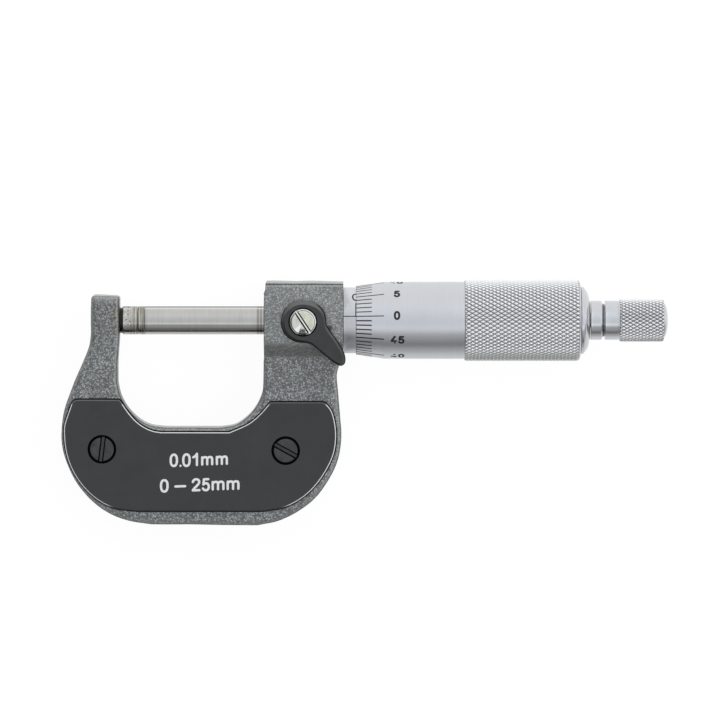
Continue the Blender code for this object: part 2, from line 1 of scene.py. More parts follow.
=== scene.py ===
"""The looks of the outside micrometer: fine meshes and finishes round the
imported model, a pale floor, soft studio light and the camera.

Fine meshes are drawn in millimetres about the measuring datum: x runs along the
spindle from the plane where both faces meet, y up across the frame, z out of
the front.  Their objects stand at that datum, so object coordinates in the
materials are the same drawing coordinates in metres.
"""
import math

import bmesh
import bpy
import numpy as np
from mathutils import Matrix, Vector, noise


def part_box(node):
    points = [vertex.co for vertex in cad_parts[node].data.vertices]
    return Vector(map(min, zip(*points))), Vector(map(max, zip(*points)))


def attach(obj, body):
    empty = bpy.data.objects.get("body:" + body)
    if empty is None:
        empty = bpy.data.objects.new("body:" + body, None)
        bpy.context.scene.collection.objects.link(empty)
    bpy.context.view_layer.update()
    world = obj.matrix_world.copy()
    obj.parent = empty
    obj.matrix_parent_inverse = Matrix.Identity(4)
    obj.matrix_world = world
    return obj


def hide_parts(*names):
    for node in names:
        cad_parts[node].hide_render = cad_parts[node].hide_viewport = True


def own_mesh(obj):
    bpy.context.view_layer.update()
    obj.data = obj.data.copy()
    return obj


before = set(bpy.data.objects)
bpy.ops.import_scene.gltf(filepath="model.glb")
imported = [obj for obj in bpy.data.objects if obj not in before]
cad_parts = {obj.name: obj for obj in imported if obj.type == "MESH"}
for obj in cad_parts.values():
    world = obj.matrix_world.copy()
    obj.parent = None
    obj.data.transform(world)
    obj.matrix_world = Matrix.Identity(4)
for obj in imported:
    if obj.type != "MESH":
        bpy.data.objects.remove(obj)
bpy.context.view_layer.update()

MM = 0.001

tip_low, tip_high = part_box("spindle_tip")
DATUM = Vector((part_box("anvil_tip")[1].x, (tip_low.y + tip_high.y) / 2,
                (tip_low.z + tip_high.z) / 2))
screw_low, screw_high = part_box("lock_screw")
LOCK = Vector(((screw_low.x + screw_high.x) / 2,
               (screw_low.y + screw_high.y) / 2, DATUM.z))
LOCK_MM = ((LOCK.x - DATUM.x) / MM, (LOCK.y - DATUM.y) / MM)

# stations and radii of the drawing, in millimetres
SPINDLE_R = 3.25
SLEEVE_R = 7.56
THIMBLE_X = (50.0, 101.7)
KNURL_X = (74.9, 101.45)
KNURL_R = 9.35
BLOCK_X = (28.94, 47.10)
BLOCK_Y = (-8.15, 8.75)
PLATE_Z = (3.75, 5.35)
SINK_Z = 4.30
SCREW_POS = ((-8.18, -29.35), (33.90, -29.65))
INDEX_ANGLE = 9.3            # the index line stands this far above the front
THIMBLE_ANGLE = 8.9          # and the zero line of the thimble this far

work = []                    # helper objects, removed at the end


# ------------------------------------------------------------------ finishes
class Finish:
    """A node material, with short calls for the nodes the finishes share."""

    def __init__(self, name, colour, metallic=0.0, roughness=0.5, **sockets):
        self.mat = bpy.data.materials.new(name)
        self.mat.use_nodes = True
        self.tree = self.mat.node_tree
        self.bsdf = self.tree.nodes["Principled BSDF"]
        self.bsdf.inputs["Base Color"].default_value = (*colour, 1.0)
        self.bsdf.inputs["Metallic"].default_value = metallic
        self.bsdf.inputs["Roughness"].default_value = roughness
        for key, value in sockets.items():
            self.bsdf.inputs[key.replace("_", " ")].default_value = value
        self.where = self.node("ShaderNodeTexCoord").outputs["Object"]
        self.mm = self.stretch(1000.0, 1000.0, 1000.0, self.where)

    def node(self, kind, **props):
        n = self.tree.nodes.new(kind)
        for key, value in props.items():
            setattr(n, key, value)
        return n

    def feed(self, socket, value):
        if isinstance(value, bpy.types.NodeSocket):
            self.tree.links.new(value, socket)
        else:
            socket.default_value = value

    def stretch(self, sx, sy, sz, coord=None):
        n = self.node("ShaderNodeMapping", vector_type="POINT")
        n.inputs["Scale"].default_value = (sx, sy, sz)
        self.feed(n.inputs["Vector"], self.mm if coord is None else coord)
        return n.outputs["Vector"]

    def noise(self, scale, detail=2.0, rough=0.5, distort=0.0, coord=None,
              output="Fac"):
        n = self.node("ShaderNodeTexNoise")
        self.feed(n.inputs["Vector"], self.mm if coord is None else coord)
        n.inputs["Scale"].default_value = scale
        n.inputs["Detail"].default_value = detail
        n.inputs["Roughness"].default_value = rough
        n.inputs["Distortion"].default_value = distort
        return n.outputs[output]

    def cells(self, scale, feature="F1", coord=None, randomness=1.0,
              output="Distance", smoothness=0.3):
        n = self.node("ShaderNodeTexVoronoi", feature=feature)
        self.feed(n.inputs["Vector"], self.mm if coord is None else coord)
        n.inputs["Scale"].default_value = scale
        n.inputs["Randomness"].default_value = randomness
        if feature == "SMOOTH_F1":
            n.inputs["Smoothness"].default_value = smoothness
        return n.outputs[output]

    def ramp(self, fac, stops, interpolation="LINEAR"):
        n = self.node("ShaderNodeValToRGB")
        r = n.color_ramp
        r.interpolation = interpolation
        while len(r.elements) < len(stops):
            r.elements.new(0.5)
        for e, (position, colour) in zip(r.elements, stops):
            e.position = position
            if not hasattr(colour, "__len__"):
                colour = (colour,) * 3
            e.color = (*colour, 1.0)
        self.feed(n.inputs["Fac"], fac)
        return n.outputs["Color"]

    def math(self, op, a, b=0.0, clamp=False):
        n = self.node("ShaderNodeMath", operation=op, use_clamp=clamp)
        self.feed(n.inputs[0], a)
        self.feed(n.inputs[1], b)
        return n.outputs[0]

    def between(self, value, low, high, out_low=0.0, out_high=1.0):
        n = self.node("ShaderNodeMapRange")
        n.clamp = True
        n.interpolation_type = "SMOOTHSTEP"
        self.feed(n.inputs["Value"], value)
        for key, v in (("From Min", low), ("From Max", high),
                       ("To Min", out_low), ("To Max", out_high)):
            n.inputs[key].default_value = v
        return n.outputs["Result"]

    def mix(self, fac, a, b, mode="MIX"):
        n = self.node("ShaderNodeMix", data_type="RGBA", blend_type=mode)
        ins = [s for s in n.inputs if s.enabled]
        self.feed(ins[0], fac)
        for socket, value in zip(ins[1:3], (a, b)):
            if isinstance(value, tuple):
                value = (*value, 1.0)
            self.feed(socket, value)
        return [s for s in n.outputs if s.enabled][0]

    def axes(self, coord=None):
        n = self.node("ShaderNodeSeparateXYZ")
        self.feed(n.inputs[0], self.mm if coord is None else coord)
        return n.outputs

    def radius(self, a, b):
        return self.math("SQRT", self.math("ADD", self.math("MULTIPLY", a, a),
                                           self.math("MULTIPLY", b, b)))

    def bump(self, height, strength, distance, normal=None):
        n = self.node("ShaderNodeBump")
        n.inputs["Strength"].default_value = strength
        n.inputs["Distance"].default_value = distance * MM
        self.feed(n.inputs["Height"], height)
        if normal is not None:
            self.feed(n.inputs["Normal"], normal)
        return n.outputs["Normal"]

    def finish(self, colour=None, roughness=None, metallic=None, normal=None):
        for key, value in (("Base Color", colour), ("Roughness", roughness),
                           ("Metallic", metallic), ("Normal", normal)):
            if value is not None:
                self.feed(self.bsdf.inputs[key], value)
        return self.mat


def line_at(f, axis_value, station, half_width):
    """1 on a line where the coordinate equals station, 0 away from it."""
    away = f.math("ABSOLUTE", f.math("SUBTRACT", axis_value, station))
    return f.between(away, 0.0, half_width, 1.0, 0.0)


def hammered_paint():
    """Hammer finish: fine pale bowls in a darker net, with bright flakes."""
    f = Finish("hammered_paint", (0.2, 0.21, 0.21), 0.45, 0.42, Coat_Weight=0.30,
               Coat_Roughness=0.20)
    warp = f.noise(1.6, 2.0, output="Color")
    shifted = f.node("ShaderNodeVectorMath", operation="MULTIPLY_ADD")
    f.feed(shifted.inputs[0], warp)
    shifted.inputs[1].default_value = (0.42, 0.42, 0.42)
    f.feed(shifted.inputs[2], f.mm)
    coord = shifted.outputs[0]
    bowl = f.cells(2.35, "F1", coord)
    tone = f.axes(f.cells(2.35, "F1", coord, output="Color"))[0]
    small = f.noise(5.8, 2.0, 0.5)
    base = f.ramp(bowl, [(0.06, (0.520, 0.541, 0.535)), (0.26, (0.372, 0.388, 0.384)),
                         (0.50, (0.190, 0.199, 0.198)), (0.75, (0.135, 0.141, 0.141))])
    base = f.mix(0.55, base, f.ramp(tone, [(0.0, 0.60), (0.5, 1.0), (1.0, 1.50)]),
                 "MULTIPLY")
    base = f.mix(0.90, base, f.ramp(small, [(0.30, 0.58), (0.50, 1.0), (0.70, 1.65)]),
                 "MULTIPLY")
    # bright specks of flake
    fleck = f.between(f.noise(4.2, 1.0, coord=f.stretch(1.0, 1.0, 0.6)), 0.690, 0.735)
    base = f.mix(f.math("MULTIPLY", fleck, 0.85), base, (0.80, 0.82, 0.81))
    broad = f.noise(0.09, 2.0)
    base = f.mix(1.0, base, f.ramp(broad, [(0.3, 0.85), (0.7, 1.02)]), "MULTIPLY")
    x, y, z = f.axes()
    side = f.axes(f.node("ShaderNodeTexCoord").outputs["Normal"])
    flat = f.math("ABSOLUTE", side[2])
    even = (0.262, 0.273, 0.270)
    # painted highlights: rounded edges, the guide block's front face and the arm's tip are
    # painted lighter and more even, where the light falls brightest
    turn = f.math("MULTIPLY", f.between(flat, 0.97, 0.88), f.between(flat, 0.40, 0.60))
    base = f.mix(turn, base, f.mix(1.0, f.mix(0.45, base, even), (1.32, 1.31, 1.30),
                                   "MULTIPLY"))
    # painted highlight on the block's raised front face
    raised = f.between(z, 6.6, 7.8)
    base = f.mix(raised, base, f.mix(1.0, f.mix(0.25, base, even), (1.24, 1.24, 1.235),
                                     "MULTIPLY"))
    # painted shade: the block's foot, sloping down to the web, is painted darker
    slope = f.math("MULTIPLY", f.between(z, 4.65, 4.95), f.between(z, 7.8, 7.0))
    slope = f.math("MULTIPLY", slope, f.between(x, 28.5, 28.9))
    base = f.mix(slope, base, f.mix(1.0, f.mix(0.12, base, even), (0.86, 0.86, 0.86),
                                    "MULTIPLY"))
    # painted highlight on the top of the left arm
    tip = f.math("MULTIPLY", f.between(y, 3.5, 4.7), f.between(x, 0.0, -3.0))
    base = f.mix(tip, base, f.mix(1.0, f.mix(0.40, base, even), (1.20, 1.18, 1.17),
                                  "MULTIPLY"))
    # painted shade: walls that stand square to the front, and the break into them, are painted
    # darker
    plain = base
    brink = f.math("MULTIPLY", f.between(flat, 0.66, 0.50), f.between(flat, 0.06, 0.22))
    base = f.mix(brink, base, f.mix(1.0, base, (0.42, 0.42, 0.42), "MULTIPLY"))
    wall = f.between(flat, 0.62, 0.30)
    base = f.mix(wall, base, f.mix(1.0, base, (0.55, 0.55, 0.55), "MULTIPLY"))
    # painted highlight: walls facing up, from the arm's top upward, are painted lighter
    up = f.math("MULTIPLY", wall, f.between(side[1], 0.60, 0.90))
    top = f.math("MULTIPLY", up, f.between(y, 3.0, 5.0))
    base = f.mix(top, base, f.mix(1.0, f.mix(0.45, plain, even), (1.25, 1.25, 1.24),
                                  "MULTIPLY"))
    # painted shade and highlight on the block's broken edges: its side edges are painted
    # near-black and its upward-facing break an even pale grey;
    # along the top a painted dark line lies just under the edge, with a painted pale line
    # below it
    out = f.math("ABSOLUTE", side[0])
    edge = f.math("MULTIPLY", f.between(out, 0.25, 0.40), f.between(out, 0.99, 0.95))
    edge = f.math("MULTIPLY", edge, f.between(z, 7.0, 7.4))
    base = f.mix(edge, base, (0.020, 0.021, 0.021))
    crown = f.math("MULTIPLY", f.between(side[1], 0.25, 0.40), f.between(z, 7.0, 7.4))
    base = f.mix(crown, base, (0.30, 0.31, 0.31))
    wavy = f.math("ADD", y, f.math("MULTIPLY", f.noise(0.45, 2.0), 0.16))
    line = f.math("MULTIPLY", f.between(wavy, 8.46, 8.56), f.between(wavy, 8.78, 8.68))
    line = f.math("MULTIPLY", line, raised)
    base = f.mix(f.math("MULTIPLY", line, 0.85), base, (0.045, 0.047, 0.047))
    lip = f.math("MULTIPLY", f.between(y, 7.90, 8.05), f.between(y, 8.36, 8.24))
    lip = f.math("MULTIPLY", lip, f.between(side[2], 0.90, 0.97))
    lip = f.math("MULTIPLY", lip, raised)
    base = f.mix(f.math("MULTIPLY", lip, 0.40), base, (0.62, 0.63, 0.62))
    # a warm stain round the anvil
    near = f.between(f.math("ABSOLUTE", y), 3.7, 2.9)
    near = f.math("MULTIPLY", near, f.between(x, -6.3, -5.3))
    near = f.math("MULTIPLY", near, f.between(x, 0.0, -3.0))
    base = f.mix(f.math("MULTIPLY", near, 0.65), base,
                 f.mix(1.0, base, (0.92, 0.82, 0.66), "MULTIPLY"))
    # painted shadow of the lever on the block beside its neck, with paint drips
    away = f.radius(f.math("SUBTRACT", x, 43.95), f.math("SUBTRACT", y, -1.45))
    away = f.math("ADD", away, f.math("MULTIPLY", small, 0.8))
    lever_shadow_and_drips = f.math("MULTIPLY", f.between(away, 1.45, 0.75), raised)
    base = f.mix(f.math("MULTIPLY", lever_shadow_and_drips, 0.85), base, (0.020, 0.021, 0.020))
    # painted shade: the floors of the cover pockets, seen in the gap round the covers, are
    # painted near-black
    painted_pocket_shade = f.math("MULTIPLY", f.between(f.math("ABSOLUTE", z), 4.0, 3.85), flat)
    base = f.mix(f.math("MULTIPLY", painted_pocket_shade, f.between(y, -16.0, -17.0)), base,
                 (0.006, 0.006, 0.006))
    # the end round the sleeve is faced to bare metal
    faced = f.math("MULTIPLY", f.between(side[0], 0.93, 0.98), f.between(x, 46.9, 47.0))
    base = f.mix(faced, base, (0.66, 0.665, 0.67))
    rough = f.mix(faced, f.ramp(small, [(0.3, 0.34), (0.7, 0.50)]), (0.30, 0.30, 0.30))
    f.feed(f.bsdf.inputs["Metallic"], f.math("ADD", 0.45, f.math("MULTIPLY", faced, 0.55)))
    throat = f.math("MULTIPLY", up, f.between(y, -12.0, -14.0))
    f.feed(f.bsdf.inputs["Coat Weight"],
           f.math("ADD", 0.30, f.math("MULTIPLY", throat, 0.70)))
    normal = f.bump(bowl, 0.40, -0.06)
    normal = f.bump(small, 0.28, 0.03, normal)
    return f.finish(base, rough, None, normal)


def cover_plastic():
    f = Finish("cover_plastic", (0.03, 0.031, 0.031), 0.0, 0.45)
    grain = f.noise(5.5, 3.0, 0.6)
    broad = f.noise(0.16, 3.0, 0.6)
    base = f.ramp(broad, [(0.3, (0.0300, 0.0305, 0.0305)),
                          (0.7, (0.0375, 0.0385, 0.0385))])
    base = f.mix(0.35, base, f.ramp(grain, [(0.3, 0.75), (0.7, 1.3)]), "MULTIPLY")
    # painted highlight: the cover's rounded edge, except along its bottom and fading near its
    # top, is painted pale; painted shade: its flanks and the screw sinks are painted
    # near-black, with little reflection
    x, y, z = f.axes()
    side = f.axes(f.node("ShaderNodeTexCoord").outputs["Normal"])
    flat = f.math("ABSOLUTE", side[2])
    rim = f.math("MULTIPLY", f.between(flat, 0.985, 0.94), f.between(flat, 0.34, 0.44))
    rim = f.math("MULTIPLY", rim, f.between(y, -42.8, -41.9))
    rim = f.math("MULTIPLY", rim, f.between(y, -19.3, -18.8, 1.0, 0.13))
    base = f.mix(rim, base, (0.88, 0.89, 0.89))
    outside = f.between(flat, 0.36, 0.26)
    base = f.mix(outside, base, (0.003, 0.003, 0.003))
    # painted shade in the sinks and the seats round the screws
    painted_recess_shade = f.between(f.math("ABSOLUTE", z), 5.20, 4.95)
    for px, py in SCREW_POS:
        away = f.radius(f.math("SUBTRACT", x, px), f.math("SUBTRACT", y, py))
        painted_recess_shade = f.math("MAXIMUM", painted_recess_shade, f.math("MULTIPLY", f.between(away, 3.42, 3.36),
                                              f.between(flat, 0.995, 0.98)))
    base = f.mix(painted_recess_shade, base, (0.003, 0.003, 0.003))
    f.feed(f.bsdf.inputs["Specular IOR Level"], f.between(painted_recess_shade, 0.0, 1.0, 0.5, 0.05))
    rough = f.ramp(grain, [(0.3, 0.44), (0.7, 0.56)])
    normal = f.bump(grain, 0.18, 0.02)
    normal = f.bump(f.noise(0.7, 2.0), 0.06, 0.05, normal)
    return f.finish(base, rough, None, normal)


def black_enamel(name="black_enamel"):
    """Stove-black metal with a satin gloss."""
    f = Finish(name, (0.03, 0.031, 0.031), 0.0, 0.36)
    grain = f.noise(4.0, 3.0, 0.6)
    broad = f.noise(0.35, 3.0, 0.55)
    base = f.ramp(broad, [(0.3, (0.030, 0.031, 0.031)), (0.7, (0.044, 0.046, 0.045))])
    base = f.mix(0.45, base, f.ramp(grain, [(0.3, 0.72), (0.7, 1.35)]), "MULTIPLY")
    side = f.axes(f.node("ShaderNodeTexCoord").outputs["Normal"])
    z = f.axes()[2]
    # painted light and shade on the broken edges: painted paler where they face up and
    # near-black where they face down, and glossier;
    # a painted black shade line runs along the foot of the break, down the lever's sides, on
    # its right-facing walls and in the screw's seat
    facet = f.between(side[2], 0.97, 0.90)
    painted_facet_light = f.ramp(f.between(side[1], -0.75, 0.75), [
        (0.0, (0.004, 0.004, 0.004)), (0.30, (0.020, 0.021, 0.021)),
        (0.55, (0.030, 0.031, 0.031)), (0.72, (0.024, 0.025, 0.025)),
        (0.88, (0.058, 0.060, 0.059)), (1.0, (0.108, 0.111, 0.110))])
    base = f.mix(facet, base, painted_facet_light)
    foot = f.math("MULTIPLY", f.between(z, 9.90, 9.80), f.between(side[1], 0.80, 0.35))
    painted_flank_shade = f.math("MULTIPLY", f.between(z, 10.04, 9.94), f.between(side[0], 0.2, 0.5))
    painted_flank_shade = f.math("MULTIPLY", painted_flank_shade, f.between(side[1], 0.85, 0.60))
    foot = f.math("MAXIMUM", foot, painted_flank_shade)
    base = f.mix(foot, base, (0.003, 0.003, 0.003))
    rough = f.ramp(grain, [(0.3, 0.30), (0.7, 0.42)])
    f.feed(f.bsdf.inputs["Specular IOR Level"],
           f.math("MULTIPLY", f.between(side[2], 0.97, 0.90, 0.45, 0.80),
                  f.between(foot, 0.0, 1.0, 1.0, 0.1)))
    return f.finish(base, rough, None, f.bump(grain, 0.20, 0.03))


def black_oxide():
    f = Finish("black_oxide", (0.03, 0.031, 0.032), 0.35, 0.4)
    grain = f.noise(6.0, 3.0, 0.6)
    blotch = f.noise(0.8, 3.0, 0.6)
    base = f.ramp(blotch, [(0.3, (0.036, 0.037, 0.038)), (0.7, (0.064, 0.066, 0.066))])
    base = f.mix(0.6, base, f.ramp(grain, [(0.3, 0.65), (0.7, 1.45)]), "MULTIPLY")
    side = f.axes(f.node("ShaderNodeTexCoord").outputs["Normal"])
    # painted shade: the screw's sides and slot walls are painted near-black, with little
    # reflection
    painted_steep_shade = f.between(f.math("ABSOLUTE", side[2]), 0.97, 0.92)
    base = f.mix(painted_steep_shade, base, (0.002, 0.002, 0.002))
    f.feed(f.bsdf.inputs["Specular IOR Level"], f.between(painted_steep_shade, 0.0, 1.0, 0.5, 0.05))
    rough = f.ramp(grain, [(0.3, 0.34), (0.7, 0.50)])
    return f.finish(base, rough, None, f.bump(grain, 0.2, 0.02))


def turned_steel(name, colour, roughness, marks=9.0, heat=(), depth=0.006,
                 anisotropic=0.35, dark=(), spots=None, rim=False):
    """Ground or turned metal with its axis along x: fine rings of tool marks,
    a little colour drift, and rings of heat or handling stain."""
    f = Finish(name, colour, 1.0, roughness, Anisotropic=anisotropic,
               Anisotropic_Rotation=0.25)
    tangent = f.node("ShaderNodeTangent", direction_type="RADIAL", axis="X")
    f.feed(f.bsdf.inputs["Tangent"], tangent.outputs[0])
    rings = f.noise(1.0, 4.0, 0.65, coord=f.stretch(marks, 0.12, 0.12))
    fine = f.noise(1.0, 2.0, 0.5, coord=f.stretch(marks * 3.1, 0.3, 0.3))
    blotch = f.noise(0.33, 3.0, 0.55)
    base = f.ramp(rings, [(0.30, tuple(c * 0.90 for c in colour)),
                          (0.70, tuple(min(1.0, c * 1.07) for c in colour))])
    base = f.mix(0.5, base, f.ramp(blotch, [(0.3, 0.93), (0.7, 1.05)]), "MULTIPLY")
    x = f.axes()[0]
    for station, half_width, strength, stain in heat:
        ring = line_at(f, x, station, half_width)
        ring = f.math("MULTIPLY", ring, f.ramp(rings, [(0.25, 0.55), (0.6, 1.0)]))
        base = f.mix(f.math("MULTIPLY", ring, strength), base, stain)
    if rim:
        # painted shade and highlight: a dark line painted along the top edge, with a painted
        # bright reflection streak below it
        y = f.axes()[1]
        base = f.mix(line_at(f, y, 3.16, 0.20), base,
                     f.mix(1.0, base, (0.30, 0.30, 0.29), "MULTIPLY"))
        base = f.mix(line_at(f, y, 2.74, 0.17), base, (0.78, 0.78, 0.765))
    if spots:
        spot = f.between(f.noise(1.9, 3.0, 0.65), 0.54, 0.60)
        spot = f.math("MULTIPLY", spot, f.between(x, spots[0], spots[0] + 0.8))
        spot = f.math("MULTIPLY", spot, f.between(x, spots[1], spots[1] - 0.8))
        base = f.mix(f.math("MULTIPLY", spot, 0.8), base, (0.13, 0.115, 0.095))
        pale = f.between(f.noise(1.7, 2.0, 0.6, coord=f.stretch(1.0, 1.0, -1.0)), 0.56, 0.63)
        base = f.mix(f.math("MULTIPLY", pale, 0.5), base, (0.82, 0.82, 0.79))
    # painted shade: the bands in dark, such as the anvil's neck in the gap by the arm, are
    # painted near-black
    for low, high in dark:
        gap = f.math("MULTIPLY", f.between(x, low - 0.02, low + 0.02),
                     f.between(x, high + 0.02, high - 0.02))
        base = f.mix(gap, base, (0.028, 0.029, 0.025))
    rough = f.ramp(rings, [(0.3, roughness * 0.85), (0.7, roughness * 1.2)])
    normal = f.bump(rings, 0.5, depth)
    normal = f.bump(fine, 0.35, depth * 0.5, normal)
    return f.finish(base, rough, None, normal)


def satin_chrome(name="satin_chrome", colour=(0.655, 0.672, 0.700),
                 roughness=0.34, knurled=None, dark=(), shade=0.085,
                 polished=None):
    """Matt chrome: an even frosted grain; on a knurl (knurled = its two ends,
    groove radius, crest radius) painted highlights on the crests and painted
    shade in the grooves; black where a narrow gap (dark) takes the light away."""
    f = Finish(name, colour, 1.0, roughness)
    grain = f.noise(7.0, 3.0, 0.65)
    rings = f.noise(1.0, 3.0, 0.6, coord=f.stretch(4.5, 0.10, 0.10))
    broad = f.noise(0.12, 2.0)
    base = f.ramp(grain, [(0.3, tuple(c * 0.955 for c in colour)),
                          (0.7, tuple(min(1.0, c * 1.03) for c in colour))])
    base = f.mix(0.5, base, f.ramp(rings, [(0.3, 0.96), (0.7, 1.03)]), "MULTIPLY")
    base = f.mix(0.5, base, f.ramp(broad, [(0.3, 0.97), (0.7, 1.02)]), "MULTIPLY")
    rough = f.ramp(grain, [(0.3, roughness * 0.9), (0.7, roughness * 1.15)])
    if knurled:
        x, y, z = f.axes()
        plain = base
        # painted highlight on the knurl's crests and painted shade in its grooves, by radius
        high = 0.70 * knurled[3] + 0.30 * knurled[2]
        depth = f.between(f.radius(y, z), high, knurled[2])
        base = f.mix(depth, f.mix(1.0, base, (1.50, 1.47, 1.42), "MULTIPLY"),
                     f.mix(1.0, base, (0.46, 0.46, 0.455), "MULTIPLY"))
        ends = f.math("MULTIPLY", f.between(x, knurled[0], knurled[0] + 0.05),
                      f.between(x, knurled[1], knurled[1] - 0.05))
        base = f.mix(ends, plain, base)
        if polished:
            rough = f.mix(ends, (polished,) * 3, rough)
    for low, high in dark:
        x = f.axes()[0]
        gap = f.math("MULTIPLY", f.between(x, low - 0.02, low + 0.02),
                     f.between(x, high + 0.02, high - 0.02))
        base = f.mix(gap, base, (shade, shade * 1.02, shade * 1.05))
    normal = f.bump(grain, 0.22, 0.012)
    normal = f.bump(rings, 0.25, 0.006, normal)
    return f.finish(base, rough, None, normal)


def carbide_face():
    f = Finish("carbide", (0.42, 0.385, 0.345), 1.0, 0.30, Anisotropic=0.3)
    tangent = f.node("ShaderNodeTangent", direction_type="RADIAL", axis="X")
    f.feed(f.bsdf.inputs["Tangent"], tangent.outputs[0])
    rings = f.noise(1.0, 4.0, 0.7, coord=f.stretch(5.0, 0.10, 0.10))
    grain = f.noise(9.0, 2.0)
    base = f.ramp(rings, [(0.34, (0.19, 0.17, 0.145)), (0.50, (0.45, 0.43, 0.39)),
                          (0.64, (0.70, 0.69, 0.655))])
    base = f.mix(0.4, base, f.ramp(grain, [(0.3, 0.85), (0.7, 1.1)]), "MULTIPLY")
    x = f.axes()[0]
    base = f.mix(f.between(x, -0.05, 0.10), f.mix(1.0, base, (0.97, 0.99, 0.96), "MULTIPLY"),
                 f.mix(1.0, base, (0.88, 0.89, 0.86), "MULTIPLY"))
    for station, half_width, strength in ((-0.86, 0.16, 0.75), (-0.30, 0.10, 0.5),
                                          (0.02, 0.12, 0.9), (0.62, 0.12, 0.5),
                                          (1.12, 0.10, 0.4)):
        ring = f.math("MULTIPLY", line_at(f, x, station, half_width), strength)
        base = f.mix(ring, base, (0.10, 0.085, 0.065))
    rough = f.ramp(grain, [(0.3, 0.11), (0.7, 0.18)])
    return f.finish(base, rough, None, f.bump(rings, 0.3, 0.004))


def faced_nickel():
    """Bright plated screw head with the rings of its facing cut."""
    f = Finish("bright_plate", (0.80, 0.79, 0.755), 1.0, 0.26, Anisotropic=0.6,
               Anisotropic_Rotation=0.25)
    tangent = f.node("ShaderNodeTangent", direction_type="RADIAL", axis="Z")
    f.feed(f.bsdf.inputs["Tangent"], tangent.outputs[0])
    x, y, z = f.axes()
    r = f.radius(x, y)
    ring = f.node("ShaderNodeCombineXYZ")
    f.feed(ring.inputs[0], f.math("MULTIPLY", r, 7.0))
    rings = f.noise(1.0, 3.0, 0.6, coord=ring.outputs[0])
    patch = f.noise(0.8, 3.0, 0.6)
    base = f.ramp(rings, [(0.3, (0.64, 0.64, 0.585)), (0.7, (0.90, 0.90, 0.835))])
    base = f.mix(0.8, base, f.ramp(patch, [(0.3, 0.78), (0.7, 1.12)]), "MULTIPLY")
    # painted reflection: the upper right half of the head is tinted a little yellow
    half = f.math("ADD", f.math("MULTIPLY", x, 0.833), f.math("MULTIPLY", y, 0.553))
    base = f.mix(f.between(half, 0.0, 0.3), base,
                 f.mix(1.0, base, (1.0, 1.0, 0.90), "MULTIPLY"))
    # the rim is painted paler, and below the slot lie a painted highlight wedge and a painted
    # dark reflection sector
    base = f.mix(f.between(r, 2.45, 2.75), base, (0.92, 0.92, 0.90))
    turn = f.math("ARCTAN2", x, f.math("MULTIPLY", y, -1.0))
    turn = f.math("ADD", turn, f.math("MULTIPLY", rings, 0.16))
    low = f.between(r, 0.5, 1.2)
    painted_highlight_wedge = f.math("MULTIPLY", f.between(turn, -0.86, -0.72), f.between(turn, -0.30, -0.42))
    base = f.mix(f.math("MULTIPLY", painted_highlight_wedge, low), base, (0.97, 0.97, 0.955))
    painted_dark_reflection = f.math("MULTIPLY", f.between(turn, -0.36, -0.26), f.between(turn, 0.42, 0.30))
    painted_dark_reflection = f.math("MULTIPLY", painted_dark_reflection, f.between(r, 1.3, 1.9))
    speck = f.ramp(f.noise(3.4, 2.0, 0.6), [(0.42, 1.0), (0.62, 0.55)])
    base = f.mix(f.math("MULTIPLY", painted_dark_reflection, speck), base, (0.020, 0.020, 0.018))
    # painted shade: the walls of the slot are painted near-black
    side = f.axes(f.node("ShaderNodeTexCoord").outputs["Normal"])
    wall = f.math("MULTIPLY", f.between(side[2], 0.97, 0.93), f.between(r, 2.80, 2.70))
    base = f.mix(wall, base, (0.012, 0.012, 0.011))
    floor = f.math("MULTIPLY", f.between(z, 10.45, 10.35), f.between(side[2], 0.95, 0.98))
    floor = f.math("MULTIPLY", floor, f.between(r, 2.70, 2.60))
    base = f.mix(floor, base, (0.93, 0.93, 0.91))
    rough = f.ramp(patch, [(0.3, 0.22), (0.7, 0.34)])
    return f.finish(base, rough, None, f.bump(rings, 0.5, 0.006))


def plain_metal(name, colour, roughness, stain=0.85):
    f = Finish(name, colour, 1.0, roughness)
    grain = f.noise(6.0, 3.0, 0.6)
    blotch = f.noise(0.6, 3.0, 0.6)
    base = f.ramp(blotch, [(0.3, tuple(c * stain for c in colour)),
                           (0.7, tuple(min(1.0, c * 1.05) for c in colour))])
    base = f.mix(0.4, base, f.ramp(grain, [(0.3, 0.88), (0.7, 1.08)]), "MULTIPLY")
    rough = f.ramp(grain, [(0.3, roughness * 0.85), (0.7, roughness * 1.2)])
    return f.finish(base, rough, None, f.bump(grain, 0.3, 0.01))


def ink(name, colour, spread):
    f = Finish(name, colour, 0.0, 0.55)
    grain = f.noise(5.0, 3.0, 0.6)
    base = f.ramp(grain, [(0.3, tuple(c * (1 - spread) for c in colour)),
                          (0.7, tuple(min(1.0, c * (1 + spread)) for c in colour))])
    rough = f.ramp(grain, [(0.3, 0.48), (0.7, 0.62)])
    return f.finish(base, rough, None, f.bump(grain, 0.2, 0.01))


HEAT = (0.40, 0.335, 0.27)
STAIN = (0.225, 0.205, 0.172)
HAMMERED = hammered_paint()
COVER = cover_plastic()
ENAMEL = black_enamel()
OXIDE = black_oxide()
SPINDLE_STEEL = turned_steel(
    "ground_spindle", (0.555, 0.55, 0.535), 0.10, 9.0, depth=0.002, anisotropic=0.85,
    heat=((1.60, 0.28, 0.8, STAIN), (27.55, 0.52, 0.85, STAIN),
          (28.24, 0.36, 0.95, STAIN), (28.88, 0.30, 0.7, STAIN)), rim=True)
ANVIL_STEEL = turned_steel("ground_anvil", (0.520, 0.510, 0.478), 0.12, 7.0,
                           depth=0.002, anisotropic=0.7,
                           heat=((-1.45, 0.5, 0.5, HEAT),), rim=True,
                           dark=((-12.0, -3.60),), spots=(-3.6, -1.2))
INNER_STEEL = turned_steel("turned_steel", (0.56, 0.555, 0.54), 0.32, 5.0)
CARBIDE = carbide_face()
